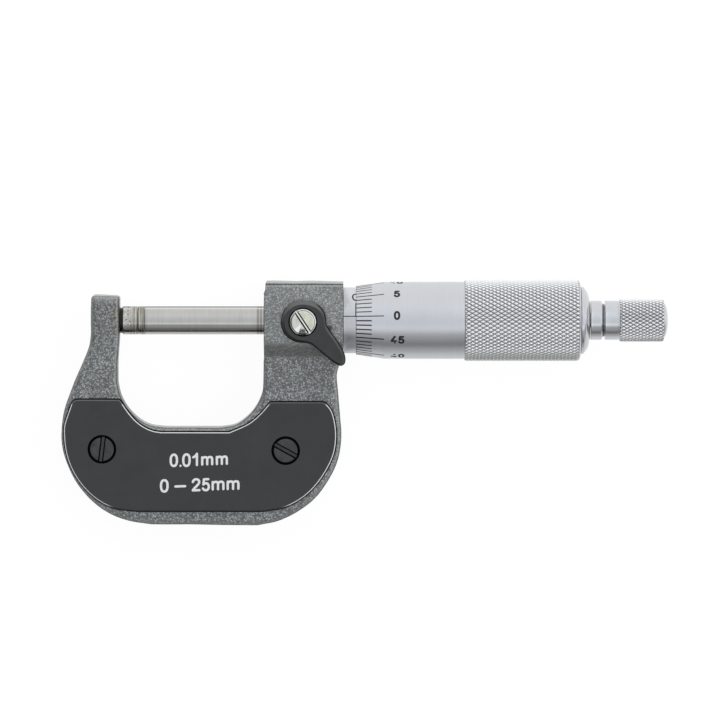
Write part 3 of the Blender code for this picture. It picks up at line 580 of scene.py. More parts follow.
SATIN = satin_chrome(colour=(0.725, 0.742, 0.768), roughness=0.40)
SATIN_KNURL = satin_chrome("satin_chrome_knurl", roughness=0.30,
                           knurled=(74.9, 101.14, KNURL_R - 0.24, KNURL_R - 0.06),
                           dark=((49.0, 50.06),))
SATIN_KNOB = satin_chrome("satin_chrome_knob", roughness=0.30,
                          knurled=(110.45, 120.6, 4.92 - 0.24, 4.92 - 0.06),
                          polished=0.16)
SATIN_SMALL = satin_chrome("satin_chrome_small", (0.655, 0.672, 0.695), 0.16,
                           dark=((103.48, 103.80), (106.62, 106.90)))
NICKEL = faced_nickel()
BRASS = plain_metal("brass", (0.74, 0.56, 0.27), 0.34)
SPRING = plain_metal("spring_steel", (0.40, 0.40, 0.41), 0.32)
BLACK_INK = ink("scale_ink", (0.010, 0.0105, 0.011), 0.25)
WHITE_INK = ink("cover_print", (0.96, 0.965, 0.96), 0.03)


# ------------------------------------------------------------------ meshes
def mesh_object(name, verts, faces, mat, at=DATUM, sharp=32.0, weighted=False):
    """An object from millimetre vertices about `at`, its normals outward."""
    mesh = bpy.data.meshes.new(name)
    mesh.from_pydata([tuple(v) for v in np.asarray(verts, float) * MM], [],
                     [tuple(f) for f in faces])
    bm = bmesh.new()
    bm.from_mesh(mesh)
    bmesh.ops.recalc_face_normals(bm, faces=bm.faces)
    bm.to_mesh(mesh)
    bm.free()
    ob = bpy.data.objects.new(name, mesh)
    bpy.context.scene.collection.objects.link(ob)
    ob.location = at
    if mat is not None:
        mesh.materials.append(mat)
    soften(ob, sharp, weighted)
    return ob


def soften(ob, sharp=32.0, weighted=False):
    ob.data.shade_smooth()
    ob.data.set_sharp_from_angle(angle=math.radians(sharp))
    if weighted:
        m = ob.modifiers.new("normals", "WEIGHTED_NORMAL")
        m.keep_sharp = True
        m.mode = "FACE_AREA"


def applied(ob):
    """Bake the object's modifiers into its mesh."""
    bpy.context.view_layer.update()
    deps = bpy.context.evaluated_depsgraph_get()
    mesh = bpy.data.meshes.new_from_object(ob.evaluated_get(deps))
    mesh.name = ob.name
    ob.modifiers.clear()
    old, ob.data = ob.data, mesh
    bpy.data.meshes.remove(old)
    return ob


def cut(ob, *others, operation="DIFFERENCE"):
    for other in others:
        m = ob.modifiers.new("cut", "BOOLEAN")
        m.operation = operation
        m.solver = "EXACT"
        m.object = other
        other.hide_render = True
        if other not in work:
            work.append(other)


def wear(piece, body, slot, *nodes):
    """Let a fine piece ride its body and stand for its CAD nodes."""
    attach(piece, body)
    if nodes:
        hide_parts(*nodes)
    return piece


def arc(cx, cr, radius, start, end, steps):
    """Profile points on an arc, angles in degrees from +station to +radius."""
    return [(cx + radius * math.cos(math.radians(start + (end - start) * k / steps)),
             cr + radius * math.sin(math.radians(start + (end - start) * k / steps)))
            for k in range(steps + 1)]


def turned(name, profile, mat, n=96, axis="X", at=DATUM, sharp=32.0, **kw):
    """A turned piece from (station, radius) points.  Where it begins or ends on
    the axis it is closed there, otherwise the profile is a closed ring."""
    verts, rows = [], []
    angles = np.arange(n) * 2 * math.pi / n
    for s, r in profile:
        start = len(verts)
        if r <= 1e-6:
            verts.append((s, 0.0, 0.0))
            rows.append([start] * n)
        else:
            verts += [(s, r * math.sin(a), r * math.cos(a)) for a in angles]
            rows.append(list(range(start, start + n)))
    faces = []
    pairs = list(zip(rows, rows[1:]))
    if profile[0][1] > 1e-6 and profile[-1][1] > 1e-6:
        pairs.append((rows[-1], rows[0]))
    for a, b in pairs:
        for i in range(n):
            j = (i + 1) % n
            f = [a[i], a[j], b[j], b[i]]
            f = [v for k, v in enumerate(f) if v not in f[:k]]
            if len(f) > 2:
                faces.append(f)
    if axis == "Z":
        verts = [(y, z, x) for x, y, z in verts]
    return mesh_object(name, verts, faces, mat, at, sharp, **kw)


def grid_body(name, rows, columns, mat, diagonal=None, sharp=32.0, at=DATUM):
    """A ring-shaped body from rows of (station, radii per column).  diagonal
    names, for the rows it covers, which way each cell is split."""
    angles = np.arange(columns) * 2 * math.pi / columns
    co = np.zeros((len(rows), columns, 3))
    for k, (s, r) in enumerate(rows):
        co[k, :, 0] = s
        co[k, :, 1] = r * np.sin(angles)
        co[k, :, 2] = r * np.cos(angles)
    faces = []
    for k in range(len(rows)):
        a, b = k * columns, ((k + 1) % len(rows)) * columns
        split = diagonal.get(k) if diagonal else None
        for i in range(columns):
            j = (i + 1) % columns
            q = (a + i, a + j, b + j, b + i)
            if split is None:
                faces.append(q)
            elif split[i]:
                faces += [(q[0], q[1], q[2]), (q[0], q[2], q[3])]
            else:
                faces += [(q[0], q[1], q[3]), (q[1], q[2], q[3])]
    return mesh_object(name, co.reshape(-1, 3), faces, mat, at, sharp)


def knurl(x0, x1, top, depth, starts, pitch, m, limit):
    """Rows of a crossed knurl: two families of V grooves wind round the barrel
    in opposite hands and leave rows of four-sided points with blunt tops.
    limit(x) is the radius that the end chamfers leave."""
    count = max(2, round((x1 - x0) / pitch * m))
    columns = starts * m
    u = np.arange(columns) / m
    crest = lambda s: np.minimum(1.0, np.abs(s - np.round(s)) * 2.9)
    rows, split = [], []
    for k in range(count + 1):
        v = k / m
        h = np.minimum(crest(u + v), crest(u - v))
        x = x0 + (x1 - x0) * k / count
        rows.append((x, np.minimum(top - depth * (1.0 - h), limit(x))))
        uc, vc = u + 0.5 / m, v + 0.5 / m
        split.append(crest(uc + vc) > crest(uc - vc))
    return rows, split[:-1], columns


def spline(points, per=8):
    """Centripetal curve through the points, `per` steps for each span."""
    pts = [Vector(p) for p in points]
    pts = [2 * pts[0] - pts[1]] + pts + [2 * pts[-1] - pts[-2]]
    out = []
    for i in range(1, len(pts) - 2):
        p0, p1, p2, p3 = pts[i - 1:i + 3]
        t0 = 0.0
        t1 = t0 + (p1 - p0).length ** 0.5
        t2 = t1 + (p2 - p1).length ** 0.5
        t3 = t2 + (p3 - p2).length ** 0.5
        for k in range(per):
            t = t1 + (t2 - t1) * k / per
            a1 = (t1 - t) / (t1 - t0) * p0 + (t - t0) / (t1 - t0) * p1
            a2 = (t2 - t) / (t2 - t1) * p1 + (t - t1) / (t2 - t1) * p2
            a3 = (t3 - t) / (t3 - t2) * p2 + (t - t2) / (t3 - t2) * p3
            b1 = (t2 - t) / (t2 - t0) * a1 + (t - t0) / (t2 - t0) * a2
            b2 = (t3 - t) / (t3 - t1) * a2 + (t - t1) / (t3 - t1) * a3
            out.append((t2 - t) / (t2 - t1) * b1 + (t - t1) / (t2 - t1) * b2)
    out.append(pts[-2])
    return [(p.x, p.y) for p in out]


def corner(p, before, after, r, steps=6):
    """Points of a rounded corner of radius r at p."""
    p, a, b = Vector(p), Vector(before), Vector(after)
    u, v = (a - p).normalized(), (b - p).normalized()
    half = u.angle(v) / 2
    centre = p + (u + v).normalized() * (r / math.sin(half))
    start = p + u * (r / math.tan(half)) - centre
    end = p + v * (r / math.tan(half)) - centre
    sweep = start.angle_signed(end)
    out = []
    for k in range(steps + 1):
        w = start.copy()
        w.rotate(Matrix.Rotation(-sweep * k / steps, 2))
        out.append(tuple(centre + w))
    return out


def offset_outline(points, distance):
    n = len(points)
    out = []
    for i in range(n):
        a, b, c = (Vector(points[j % n]) for j in (i - 1, i, i + 1))
        d1, d2 = (b - a).normalized(), (c - b).normalized()
        n1, n2 = Vector((d1.y, -d1.x)), Vector((d2.y, -d2.x))
        m = (n1 + n2).normalized()
        out.append(tuple(b + m * (distance / max(0.5, m.dot(n1)))))
    return out


def area(points):
    return 0.5 * sum(a[0] * b[1] - b[0] * a[1]
                     for a, b in zip(points, points[1:] + points[:1]))


def thin_out(points, least=0.08):
    out = []
    for p in points:
        if not out or (Vector(p) - Vector(out[-1])).length > least:
            out.append(p)
    if (Vector(out[0]) - Vector(out[-1])).length <= least:
        out.pop()
    return out


def slab(name, points, z, mat, edge=0.0, rounds=0, at=DATUM, sharp=32.0,
         weighted=False):
    """A flat piece: the outline filled, extruded between two z levels, and its
    edges broken or rounded by `edge`."""
    points = thin_out([tuple(p) for p in points])
    if area(points) < 0:
        points = points[::-1]
    curve = bpy.data.curves.new(name + "_outline", "CURVE")
    curve.dimensions = "2D"
    curve.fill_mode = "BOTH"
    curve.extrude = ((z[1] - z[0]) / 2 - edge) * MM
    curve.bevel_depth = edge * MM
    curve.bevel_resolution = rounds
    curve.offset = -edge * MM
    curve.resolution_u = 1
    curve.render_resolution_u = 0
    s = curve.splines.new("POLY")
    s.points.add(len(points) - 1)
    for q, (x, y) in zip(s.points, points):
        q.co = (x * MM, y * MM, 0.0, 1.0)
    s.use_cyclic_u = True
    guide = bpy.data.objects.new(name + "_guide", curve)
    bpy.context.scene.collection.objects.link(guide)
    bpy.context.view_layer.update()
    deps = bpy.context.evaluated_depsgraph_get()
    mesh = bpy.data.meshes.new_from_object(guide.evaluated_get(deps))
    mesh.name = name
    mesh.materials.clear()
    bpy.data.objects.remove(guide, do_unlink=True)
    bm = bmesh.new()
    bm.from_mesh(mesh)
    bmesh.ops.remove_doubles(bm, verts=bm.verts, dist=2e-7)
    bmesh.ops.translate(bm, verts=bm.verts,
                        vec=(0.0, 0.0, (z[0] + z[1]) / 2 * MM))
    bmesh.ops.recalc_face_normals(bm, faces=bm.faces)
    bm.to_mesh(mesh)
    bm.free()
    ob = bpy.data.objects.new(name, mesh)
    bpy.context.scene.collection.objects.link(ob)
    ob.location = at
    if mat is not None:
        mesh.materials.append(mat)
    soften(ob, sharp, weighted)
    return ob


def block_between(name, low, high, turn=0.0, about=(0.0, 0.0), at=DATUM):
    """A straight cutter between two corners, turned about z through `about`."""
    c, s = math.cos(turn), math.sin(turn)
    verts = []
    for x in (low[0], high[0]):
        for y in (low[1], high[1]):
            for z in (low[2], high[2]):
                dx, dy = x - about[0], y - about[1]
                verts.append((about[0] + c * dx - s * dy,
                              about[1] + s * dx + c * dy, z))
    faces = [(0, 1, 3, 2), (4, 6, 7, 5), (0, 4, 5, 1), (2, 3, 7, 6),
             (0, 2, 6, 4), (1, 5, 7, 3)]
    return mesh_object(name, verts, faces, None, at)


def slot_cutter(name, floor, mouth, bottom, top, turn, at):
    """A screwdriver slot with sloping walls, along x and turned about z."""
    rise = top - bottom
    over = top + rise * 0.5
    wide = mouth + (mouth - floor) * 0.5
    c, s = math.cos(turn), math.sin(turn)
    section = [(-floor / 2, bottom), (floor / 2, bottom), (wide / 2, over),
               (-wide / 2, over)]
    verts = [(c * x - s * y, s * x + c * y, z) for x in (-4.0, 4.0)
             for y, z in section]
    faces = [(0, 1, 2, 3), (4, 5, 6, 7), (0, 1, 5, 4), (1, 2, 6, 5), (2, 3, 7, 6),
             (3, 0, 4, 7)]
    return mesh_object(name, verts, faces, None, at)


# ------------------------------------------------------------------ strokes
def ribbon(points, width, closed=False):
    """Left and right border points of a stroke of that width, round ended."""
    pts = [Vector(p) for p in points]
    n = len(pts)
    out = []
    for i in range(n):
        a = pts[i - 1] if (i > 0 or closed) else pts[0]
        c = pts[(i + 1) % n] if (i < n - 1 or closed) else pts[-1]
        b = pts[i]
        d1 = (b - a).normalized() if (b - a).length > 1e-9 else (c - b).normalized()
        d2 = (c - b).normalized() if (c - b).length > 1e-9 else d1
        n1, n2 = Vector((-d1.y, d1.x)), Vector((-d2.y, d2.x))
        m = (n1 + n2).normalized()
        out.append((b, m * (width / 2 / max(0.75, m.dot(n1)))))
    if not closed:
        first = (pts[0] - pts[1]).normalized()
        last = (pts[-1] - pts[-2]).normalized()
        head = [(pts[0] + first * width * e, out[0][1] * s)
                for e, s in ((0.46, 0.38), (0.30, 0.80))]
        tail = [(pts[-1] + last * width * e, out[-1][1] * s)
                for e, s in ((0.30, 0.80), (0.46, 0.38))]
        out = head + out + tail
    return [(p + q, p - q) for p, q in out]


class Inlay:
    """Gathers strokes into one thin closed inlay.  lay(x, y, h) puts a flat
    drawing point, raised by h, onto the surface that carries it."""

    def __init__(self, lay, high=0.010, low=-0.030):
        self.lay, self.high, self.low = lay, high, low
        self.verts, self.faces = [], []
        self.count = 0

    def stroke(self, points, width, closed=False, put=lambda p: p):
        pairs = ribbon(points, width, closed)
        base = len(self.verts)
        self.count += 1
        high = self.high + 0.0016 * (self.count % 6)
        for left, right in pairs:
            left, right = put(left), put(right)
            for p, h in ((left, high), (right, high),
                         (right, self.low), (left, self.low)):
                self.verts.append(self.lay(p[0], p[1], h))
        count = len(pairs)
        for k in range(count if closed else count - 1):
            a, b = base + 4 * k, base + 4 * ((k + 1) % count)
            for i in range(4):
                j = (i + 1) % 4
                self.faces.append((a + i, a + j, b + j, b + i))
        if not closed:
            a, b = base, base + 4 * (count - 1)
            self.faces.append((a, a + 1, a + 2, a + 3))
            self.faces.append((b + 3, b + 2, b + 1, b))

    def build(self, name, mat, at=DATUM):
        return mesh_object(name, self.verts, self.faces, mat, at, 40.0)


def oval(cx, cy, a, b, power=2.35, count=28):
    out = []
    for k in range(count):
        t = 2 * math.pi * k / count
        c, s = math.cos(t), math.sin(t)
        out.append((cx + a * math.copysign(abs(c) ** (2 / power), c),
                    cy + b * math.copysign(abs(s) ** (2 / power), s)))
    return out


def sign_strokes(sign):
    """Centre lines of one sign in a box one high and about 0.56 wide, as
    (points, closed)."""
    if sign == "0":
        return [(oval(0.28, 0.5, 0.28, 0.5), True)], 0.56
    if sign == "1":
        return [([(0.30, 1.0), (0.30, 0.0)], False),
                (spline([(-0.06, 0.70), (0.12, 0.79), (0.25, 0.92), (0.30, 1.0)], 3),
                 False)], 0.36
    if sign == "2":
        return [(spline([(0.01, 0.76), (0.06, 0.90), (0.17, 0.98), (0.29, 1.0),
                         (0.42, 0.96), (0.51, 0.86), (0.53, 0.73), (0.48, 0.59),
                         (0.36, 0.43), (0.17, 0.22), (0.01, 0.02)], 3), False),
                ([(0.0, 0.0), (0.55, 0.0)], False)], 0.56
    if sign == "3":
        return [(spline([(0.03, 0.83), (0.11, 0.95), (0.27, 1.0), (0.42, 0.95),
                         (0.49, 0.83), (0.48, 0.69), (0.39, 0.58), (0.22, 0.54)], 3),
                 False),
                (spline([(0.22, 0.54), (0.40, 0.50), (0.52, 0.39), (0.54, 0.25),
                         (0.47, 0.09), (0.30, 0.0), (0.12, 0.04), (0.01, 0.17)], 3),
                 False)], 0.56
    if sign == "4":
        return [([(0.40, 1.0), (0.0, 0.31)], False),
                ([(0.0, 0.29), (0.57, 0.29)], False),
                ([(0.42, 1.0), (0.42, 0.0)], False)], 0.58
    if sign == "5":
        return [([(0.50, 1.0), (0.10, 1.0)], False),
                ([(0.10, 1.0), (0.045, 0.53)], False),
                (spline([(0.045, 0.53), (0.15, 0.61), (0.28, 0.635), (0.42, 0.59),
                         (0.52, 0.47), (0.55, 0.31), (0.51, 0.14), (0.40, 0.03),
                         (0.26, 0.0), (0.11, 0.04), (0.0, 0.17)], 3), False)], 0.56
    if sign == "m":
        arch = [(0.0, 0.52), (0.05, 0.62), (0.15, 0.69), (0.25, 0.705),
                (0.36, 0.67), (0.415, 0.56)]
        first = spline(arch, 3) + [(0.42, 0.40), (0.42, 0.0)]
        second = [(x + 0.42, y) for x, y in first]
        return [([(0.0, 0.70), (0.0, 0.0)], False), (first, False),
                (second, False)], 0.84
    if sign == ".":
        return [([(0.0, 0.01), (0.02, 0.01)], False)], 0.02
    if sign == "-":
        return [([(0.0, 0.43), (0.88, 0.43)], False)], 0.88
    raise ValueError(sign)


def set_sign(inlay, sign, low, high, width, lean):
    """One sign drawn to fill the box between two corners."""
    strokes, _ = sign_strokes(sign)
    every = [q for points, _ in strokes for q in points]
    x0, x1 = min(q[0] for q in every), max(q[0] for q in every)
    y0, y1 = min(q[1] for q in every), max(q[1] for q in every)
    sx = (high[0] - low[0] - width) / max(1e-6, x1 - x0)
    sy = (high[1] - low[1] - width) / max(1e-6, y1 - y0) if y1 > y0 else 0.0
    middle = (low[0] + high[0]) / 2
    for points, closed in strokes:
        placed = []
        for px, py in points:
            u = low[0] + width / 2 + (px - x0) * sx
            v = low[1] + width / 2 + (py - y0) * sy
            placed.append((u, v + (u - middle) * lean))
        inlay.stroke(placed, width, closed)


def write(inlay, text, x, y, height, width, angle=0.0, gap=0.30, centred=False,
          advance=None, wide=1.0):
    """Write signs along a line from (x, y): height is over all, width the
    stroke's, gap the clear space between centre lines in parts of height."""
    tall = height - width
    step, signs = 0.0, []
    for k, sign in enumerate(text):
        strokes, breadth = sign_strokes(sign)
        at = step if advance is None else advance[k]
        signs.append((at, strokes))
        step = at + breadth + gap
    total = step - gap
    shift = -total / 2 if centred else 0.0
    c, s = math.cos(angle), math.sin(angle)
    for at, strokes in signs:
        for points, closed in strokes:
            placed = []
            for px, py in points:
                u = (px + at + shift) * tall * wide
                v = py * tall + width / 2
                if centred:
                    v -= height / 2
                placed.append((x + c * u - s * v, y + s * u + c * v))
            inlay.stroke(placed, width, closed)


# ------------------------------------------------------------------ outlines
OUTSIDE_LEFT = [(-10.78, -3.1), (-11.18, -5.8), (-12.45, -9.1), (-14.05, -12.8),
                (-15.66, -16.9), (-17.00, -20.9), (-17.58, -25.9),
                (-17.25, -29.4), (-16.00, -33.4), (-13.87, -37.5),
                (-10.18, -41.7), (-6.04, -44.5), (-2.00, -45.95),
                (3.00, -46.70)]
OUTSIDE_RIGHT = [(27.40, -46.95), (32.30, -45.90), (37.00, -43.55),
                 (40.90, -40.40), (43.90, -36.20), (45.80, -32.10),
                 (46.63, -27.30), (46.35, -22.00), (45.90, -17.0),
                 (45.60, -12.3), (46.10, -10.2), (46.70, -7.2)]
THROAT_RIGHT = [(28.70, -15.5), (28.35, -17.1), (27.10, -19.7),
                (24.90, -22.2), (22.20, -23.90), (19.00, -24.45)]
THROAT_LEFT = [(6.20, -24.45), (2.69, -23.90), (0.00, -22.4),
               (-2.20, -20.2), (-3.90, -17.3), (-4.66, -14.3)]
PLATE_OUT_LEFT = [(-13.40, -17.98), (-14.10, -18.05), (-14.66, -18.32),
                  (-15.05, -18.80), (-15.30, -19.42), (-15.62, -20.30),
                  (-16.02, -21.45),
                  (-16.80, -24.00), (-16.85, -26.20), (-16.55, -29.20),
                  (-15.60, -32.75), (-13.35, -36.85), (-9.85, -40.50),
                  (-5.75, -42.75), (0.00, -43.55)]
PLATE_OUT_RIGHT = [(28.60, -43.55), (33.60, -42.65), (37.20, -40.85),
                   (40.40, -38.10), (43.25, -34.10), (44.95, -30.25),
                   (45.45, -26.35), (45.10, -22.85), (44.30, -20.35),
                   (43.00, -18.78)]
PLATE_IN_RIGHT = [(30.40, -18.55), (28.07, -21.25), (25.40, -23.45),
                  (21.00, -25.45)]
PLATE_IN_LEFT = [(5.40, -25.42), (3.55, -25.12), (1.80, -24.40), (0.08, -23.26),
                 (-1.48, -21.68), (-2.76, -20.00), (-3.78, -18.48),
                 (-4.12, -18.10)]


def frame_outline():
    arm_left, arm_right, top = -10.72, -4.20, 5.86
    out = []
    out += corner((arm_right, top - 0.2), (arm_right, 0), (arm_left, top), 0.5)
    out += corner((arm_left, top), (arm_right, top), (arm_left, 0), 0.9)
    out += spline(OUTSIDE_LEFT, 8)
    out += spline(OUTSIDE_RIGHT, 8)
    out += [(46.7, 6.8), (29.6, 6.8), (29.3, -6.6), (28.98, -7.8), (28.80, -9.3)]
    out += spline(THROAT_RIGHT, 8)
    out += spline(THROAT_LEFT, 8)
    out += [(-4.66, -9.6), (-4.36, -5.6), (arm_right, -3.0)]
    return out


def plate_outline():
    return (spline(PLATE_OUT_LEFT, 8) + spline(PLATE_OUT_RIGHT, 8)
            + [(42.3, -18.55)] + spline(PLATE_IN_RIGHT, 8)
            + spline(PLATE_IN_LEFT, 8) + [(-4.38, -17.98), (-9.0, -17.98)])


# the lever about its own axis, with the width of the broken edge there
LEVER = [(5.33, 0.00, 0.62), (5.22, 1.10, 0.62), (4.92, 2.10, 0.68),
         (4.42, 3.00, 0.74), (3.70, 3.75, 0.78), (2.75, 4.30, 0.80),
         (1.60, 4.66, 0.80), (0.40, 4.83, 0.80), (-0.80, 4.80, 0.80),
         (-2.00, 4.50, 0.80), (-3.10, 3.90, 0.80), (-4.00, 3.08, 0.80),
         (-4.62, 2.05, 0.80), (-4.95, 0.85, 0.80), (-5.00, -0.35, 0.80),
         (-4.78, -1.55, 0.80), (-4.25, -2.65, 0.80), (-3.45, -3.55, 0.78),
         (-2.45, -4.22, 0.74), (-1.30, -4.62, 0.68), (-0.10, -4.76, 0.60),
         (0.95, -4.85, 0.52), (1.90, -5.20, 0.46), (2.75, -5.81, 0.44),
         (4.02, -6.87, 0.44), (5.61, -8.22, 0.44), (6.73, -9.10, 0.46),
         (7.83, -9.78, 0.50), (8.75, -10.02, 0.54), (9.50, -9.55, 0.58),
         (9.72, -8.60, 0.60), (9.46, -7.20, 0.60), (8.55, -5.40, 0.60),
         (7.50, -3.80, 0.60), (6.55, -2.50, 0.60), (5.85, -1.45, 0.60),
         (5.45, -0.65, 0.60)]


def lever_outline():
    ring = LEVER + LEVER[:1]
    line = spline([(x, y) for x, y, w in ring], 4)[:-1]
    return [(x, y, ring[k // 4][2] + (ring[k // 4 + 1][2] - ring[k // 4][2])
             * (k % 4) / 4) for k, (x, y) in enumerate(line)]


# ------------------------------------------------------------------ the frame
def build_block():
    """The guide block: its outline in the front view is a little uneven, its
    edges are lightly broken and its foot slants back to the web."""
    top = [(47.06, 8.66), (44.5, 8.72), (41.7, 8.80), (38.9, 8.85), (36.2, 8.74),
           (33.5, 8.83), (31.0, 8.88), (29.42, 8.86)]
    side = [(29.34, 8.72), (29.30, 7.30), (29.20, 6.85), (28.97, 6.60), (28.93, 6.30),
            (29.02, 6.00), (28.97, 5.40), (28.94, 3.0), (28.97, 0.0), (28.92, -4.0),
            (28.95, -8.60)]
    outline = [(47.10, -8.60), (47.08, 2.0), (47.11, 5.0), (47.10, 8.55)] + top + side
    block = slab("frame_block", outline, (-8.0, 8.0), None, edge=0.14, rounds=2)
    # everything inside this (y, z) section stays
    half = ([(9.5, 8.5), (-3.9, 8.5), (-4.30, 8.00), (-4.72, 7.93), (-5.08, 7.72)]
            + [(-5.08 - 3.02 * k / 6, 7.72 - 3.02 * k / 6) for k in range(1, 7)]
            + [(-8.36, 4.50), (-8.72, 4.37), (-9.3, 4.30)])
    section = half + [(y, -z) for y, z in reversed(half)]
    n = len(section)
    verts = [(x, y, z) for x in (28.0, 48.0) for y, z in section]
    faces = [tuple(range(n)), tuple(range(n, 2 * n))]
    faces += [(i, (i + 1) % n, n + (i + 1) % n, n + i) for i in range(n)]
    prism = mesh_object("block_section", verts, faces, None)
    cut(block, prism, operation="INTERSECT")
    applied(block)
    return block


def build_frame():
    skin = slab("frame_casting", frame_outline(), (-4.5, 4.5), HAMMERED,
                edge=1.05, rounds=4)
    m = skin.modifiers.new("cast", "REMESH")
    m.mode = "VOXEL"
    m.voxel_size = 0.30 * MM
    m.use_smooth_shade = True
    m = skin.modifiers.new("melt", "SMOOTH")
    m.factor = 0.5
    m.iterations = 3
    applied(skin)
    # the casting is not dead flat, and its paint lies in low puddles
    mesh = skin.data
    co = np.empty(len(mesh.vertices) * 3)
    mesh.vertices.foreach_get("co", co)
    co = co.reshape(-1, 3)
    nor = np.empty(len(mesh.vertices) * 3)
    mesh.vertices.foreach_get("normal", nor)
    nor = nor.reshape(-1, 3)
    low = np.array([noise.noise(Vector(c) * (1000 / 5.5)) for c in co])
    mid = np.array([noise.noise(Vector(c) * (1000 / 1.5) + Vector((7, 3, 1)))
                    for c in co])
    co += nor * (low * 0.060 + mid * 0.022)[:, None] * MM
    mesh.vertices.foreach_set("co", co.ravel())
    mesh.update()
    cut(skin, build_block(), operation="UNION")
    applied(skin)

    cutters = [
        turned("bush_bore", [(48.5, 0.0), (48.5, 5.55), (30.5, 5.55), (30.5, 3.45),
                             (27.5, 3.45), (27.5, 0.0)], None, 72),
        turned("anvil_bore", [(-3.5, 0.0), (-3.5, 2.85), (-9.7, 2.85),
                              (-9.7, 0.0)], None, 64),
        turned("lock_hole", [(9.0, 0.0), (9.0, 2.6), (4.0, 2.6), (4.0, 0.0)],
               None, 48, "Z", LOCK),
    ]
    pocket = offset_outline(thin_out(plate_outline()), 0.28)
    if area(thin_out(plate_outline())) < 0:
        pocket = offset_outline(thin_out(plate_outline())[::-1], 0.28)
    cutters.append(slab("pocket_front", pocket, (3.70, 6.5), None))
    cutters.append(slab("pocket_rear", pocket, (-6.5, -3.70), None))
    for k, (x, y) in enumerate(SCREW_POS):
        cutters.append(turned(f"screw_hole_{k}",
                              [(3.9, 0.0), (3.9, 1.55), (-3.9, 1.55), (-3.9, 0.0)],
                              None, 32, "Z",
                              DATUM + Vector((x * MM, y * MM, 0.0))))
    cut(skin, *cutters)
    applied(skin)
    skin.data.materials.clear()
    skin.data.materials.append(HAMMERED)
    soften(skin, 42.0)
    return wear(skin, "frame", "hammered_frame", "c_frame")


build_frame()


# ------------------------------------------------------------------ covers
def build_cover(side, sign):
    z = PLATE_Z if sign > 0 else (-PLATE_Z[1], -PLATE_Z[0])
    plate = slab(side + "_cover", plate_outline(), z, COVER, edge=0.30, rounds=3)
    for k, (x, y) in enumerate(SCREW_POS):
        here = DATUM + Vector((x * MM, y * MM, 0.0))
        prof = [(6.5, 0.0), (6.5, 3.30), (PLATE_Z[1] + 0.005, 3.30),
                (PLATE_Z[1] - 0.03, 3.28), (SINK_Z, 3.28), (SINK_Z, 1.55),
                (3.0, 1.55), (3.0, 0.0)]
        prof = [(sign * s, r) for s, r in prof]
        sink = turned(f"sink_{side}_{k}", prof, None, 96, "Z", here)
        cut(plate, sink)
    applied(plate)
    plate.data.materials.clear()
    plate.data.materials.append(COVER)
    soften(plate, 24.0, weighted=True)
    wear(plate, "frame", "black_cover", side + "_plate")
    for k, (where, (x, y)) in enumerate(zip(("left", "right"), SCREW_POS)):
        here = DATUM + Vector((x * MM, y * MM, 0.0))
        top = PLATE_Z[1] - 0.08
        prof = ([(top, 0.0), (top, 2.60)] + arc(top - 0.22, 2.62, 0.22, 0, 90, 4)[1:]
                + [(SINK_Z + 0.10, 2.84), (SINK_Z + 0.06, 2.80), (SINK_Z + 0.06, 1.40),
                   (0.6, 1.40), (0.3, 1.1), (0.3, 0.0)])
        prof = [(sign * s, r) for s, r in prof]
        screw = turned(f"cover_screw_{side}_{where}", prof, OXIDE, 96, "Z", here)
        turn = math.radians(83.3 if where == "left" else -29.0) * sign
        slot = slot_cutter(f"slot_{side}_{where}", 0.62, 1.20,
                           sign * (top - 0.55), sign * top, turn, here)
        cut(screw, slot)
        applied(screw)
        m = screw.modifiers.new("edges", "BEVEL")
        m.width = 0.05 * MM
        m.segments = 2
        m.limit_method = "ANGLE"
        m.angle_limit = math.radians(50)
        applied(screw)
        screw.data.materials.clear()
        screw.data.materials.append(OXIDE)
        soften(screw, 30.0, weighted=True)
        wear(screw, "frame", "black_screw", f"plate_screw_{side}_{where}")


build_cover("front", 1)
build_cover("rear", -1)

# the range and the graduation, printed on the front cover
printed = Inlay(lambda x, y, h: (x, y, PLATE_Z[1] + h), 0.012, -0.04)
LEAN = math.tan(math.radians(1.9))
for sign, low, high in (
        ("0", (7.30, -33.42), (9.27, -30.31)), (".", (9.54, -33.38), (10.07, -32.85)),
        ("0", (10.18, -33.42), (12.17, -30.24)), ("1", (12.47, -33.24), (13.84, -30.13)),
        ("m", (14.52, -33.06), (17.33, -30.87)), ("m", (17.88, -32.96), (20.69, -30.77)),
        ("0", (5.07, -39.30), (7.10, -36.17)), ("-", (8.36, -38.10), (11.14, -37.58)),
        ("2", (12.35, -39.00), (14.41, -35.95)), ("5", (14.68, -39.00), (16.55, -35.95)),
        ("m", (16.92, -38.77), (19.89, -36.53)), ("m", (20.36, -38.68), (23.33, -36.44))):
    set_sign(printed, sign, low, high, 0.50 if sign == "." else 0.53, LEAN)
wear(printed.build("cover_print_range", WHITE_INK), "frame", "black_cover")


# ------------------------------------------------------------------ spindle line
def rounded_end(x, r, e, steps=3, side=1):
    """Profile points of a rounded rim at station x."""
    pts = arc(x - side * e, r - e, e, 0, 90, steps)
    if side < 0:
        pts = [(2 * (x + e) - s, q) for s, q in pts][::1]
    return pts


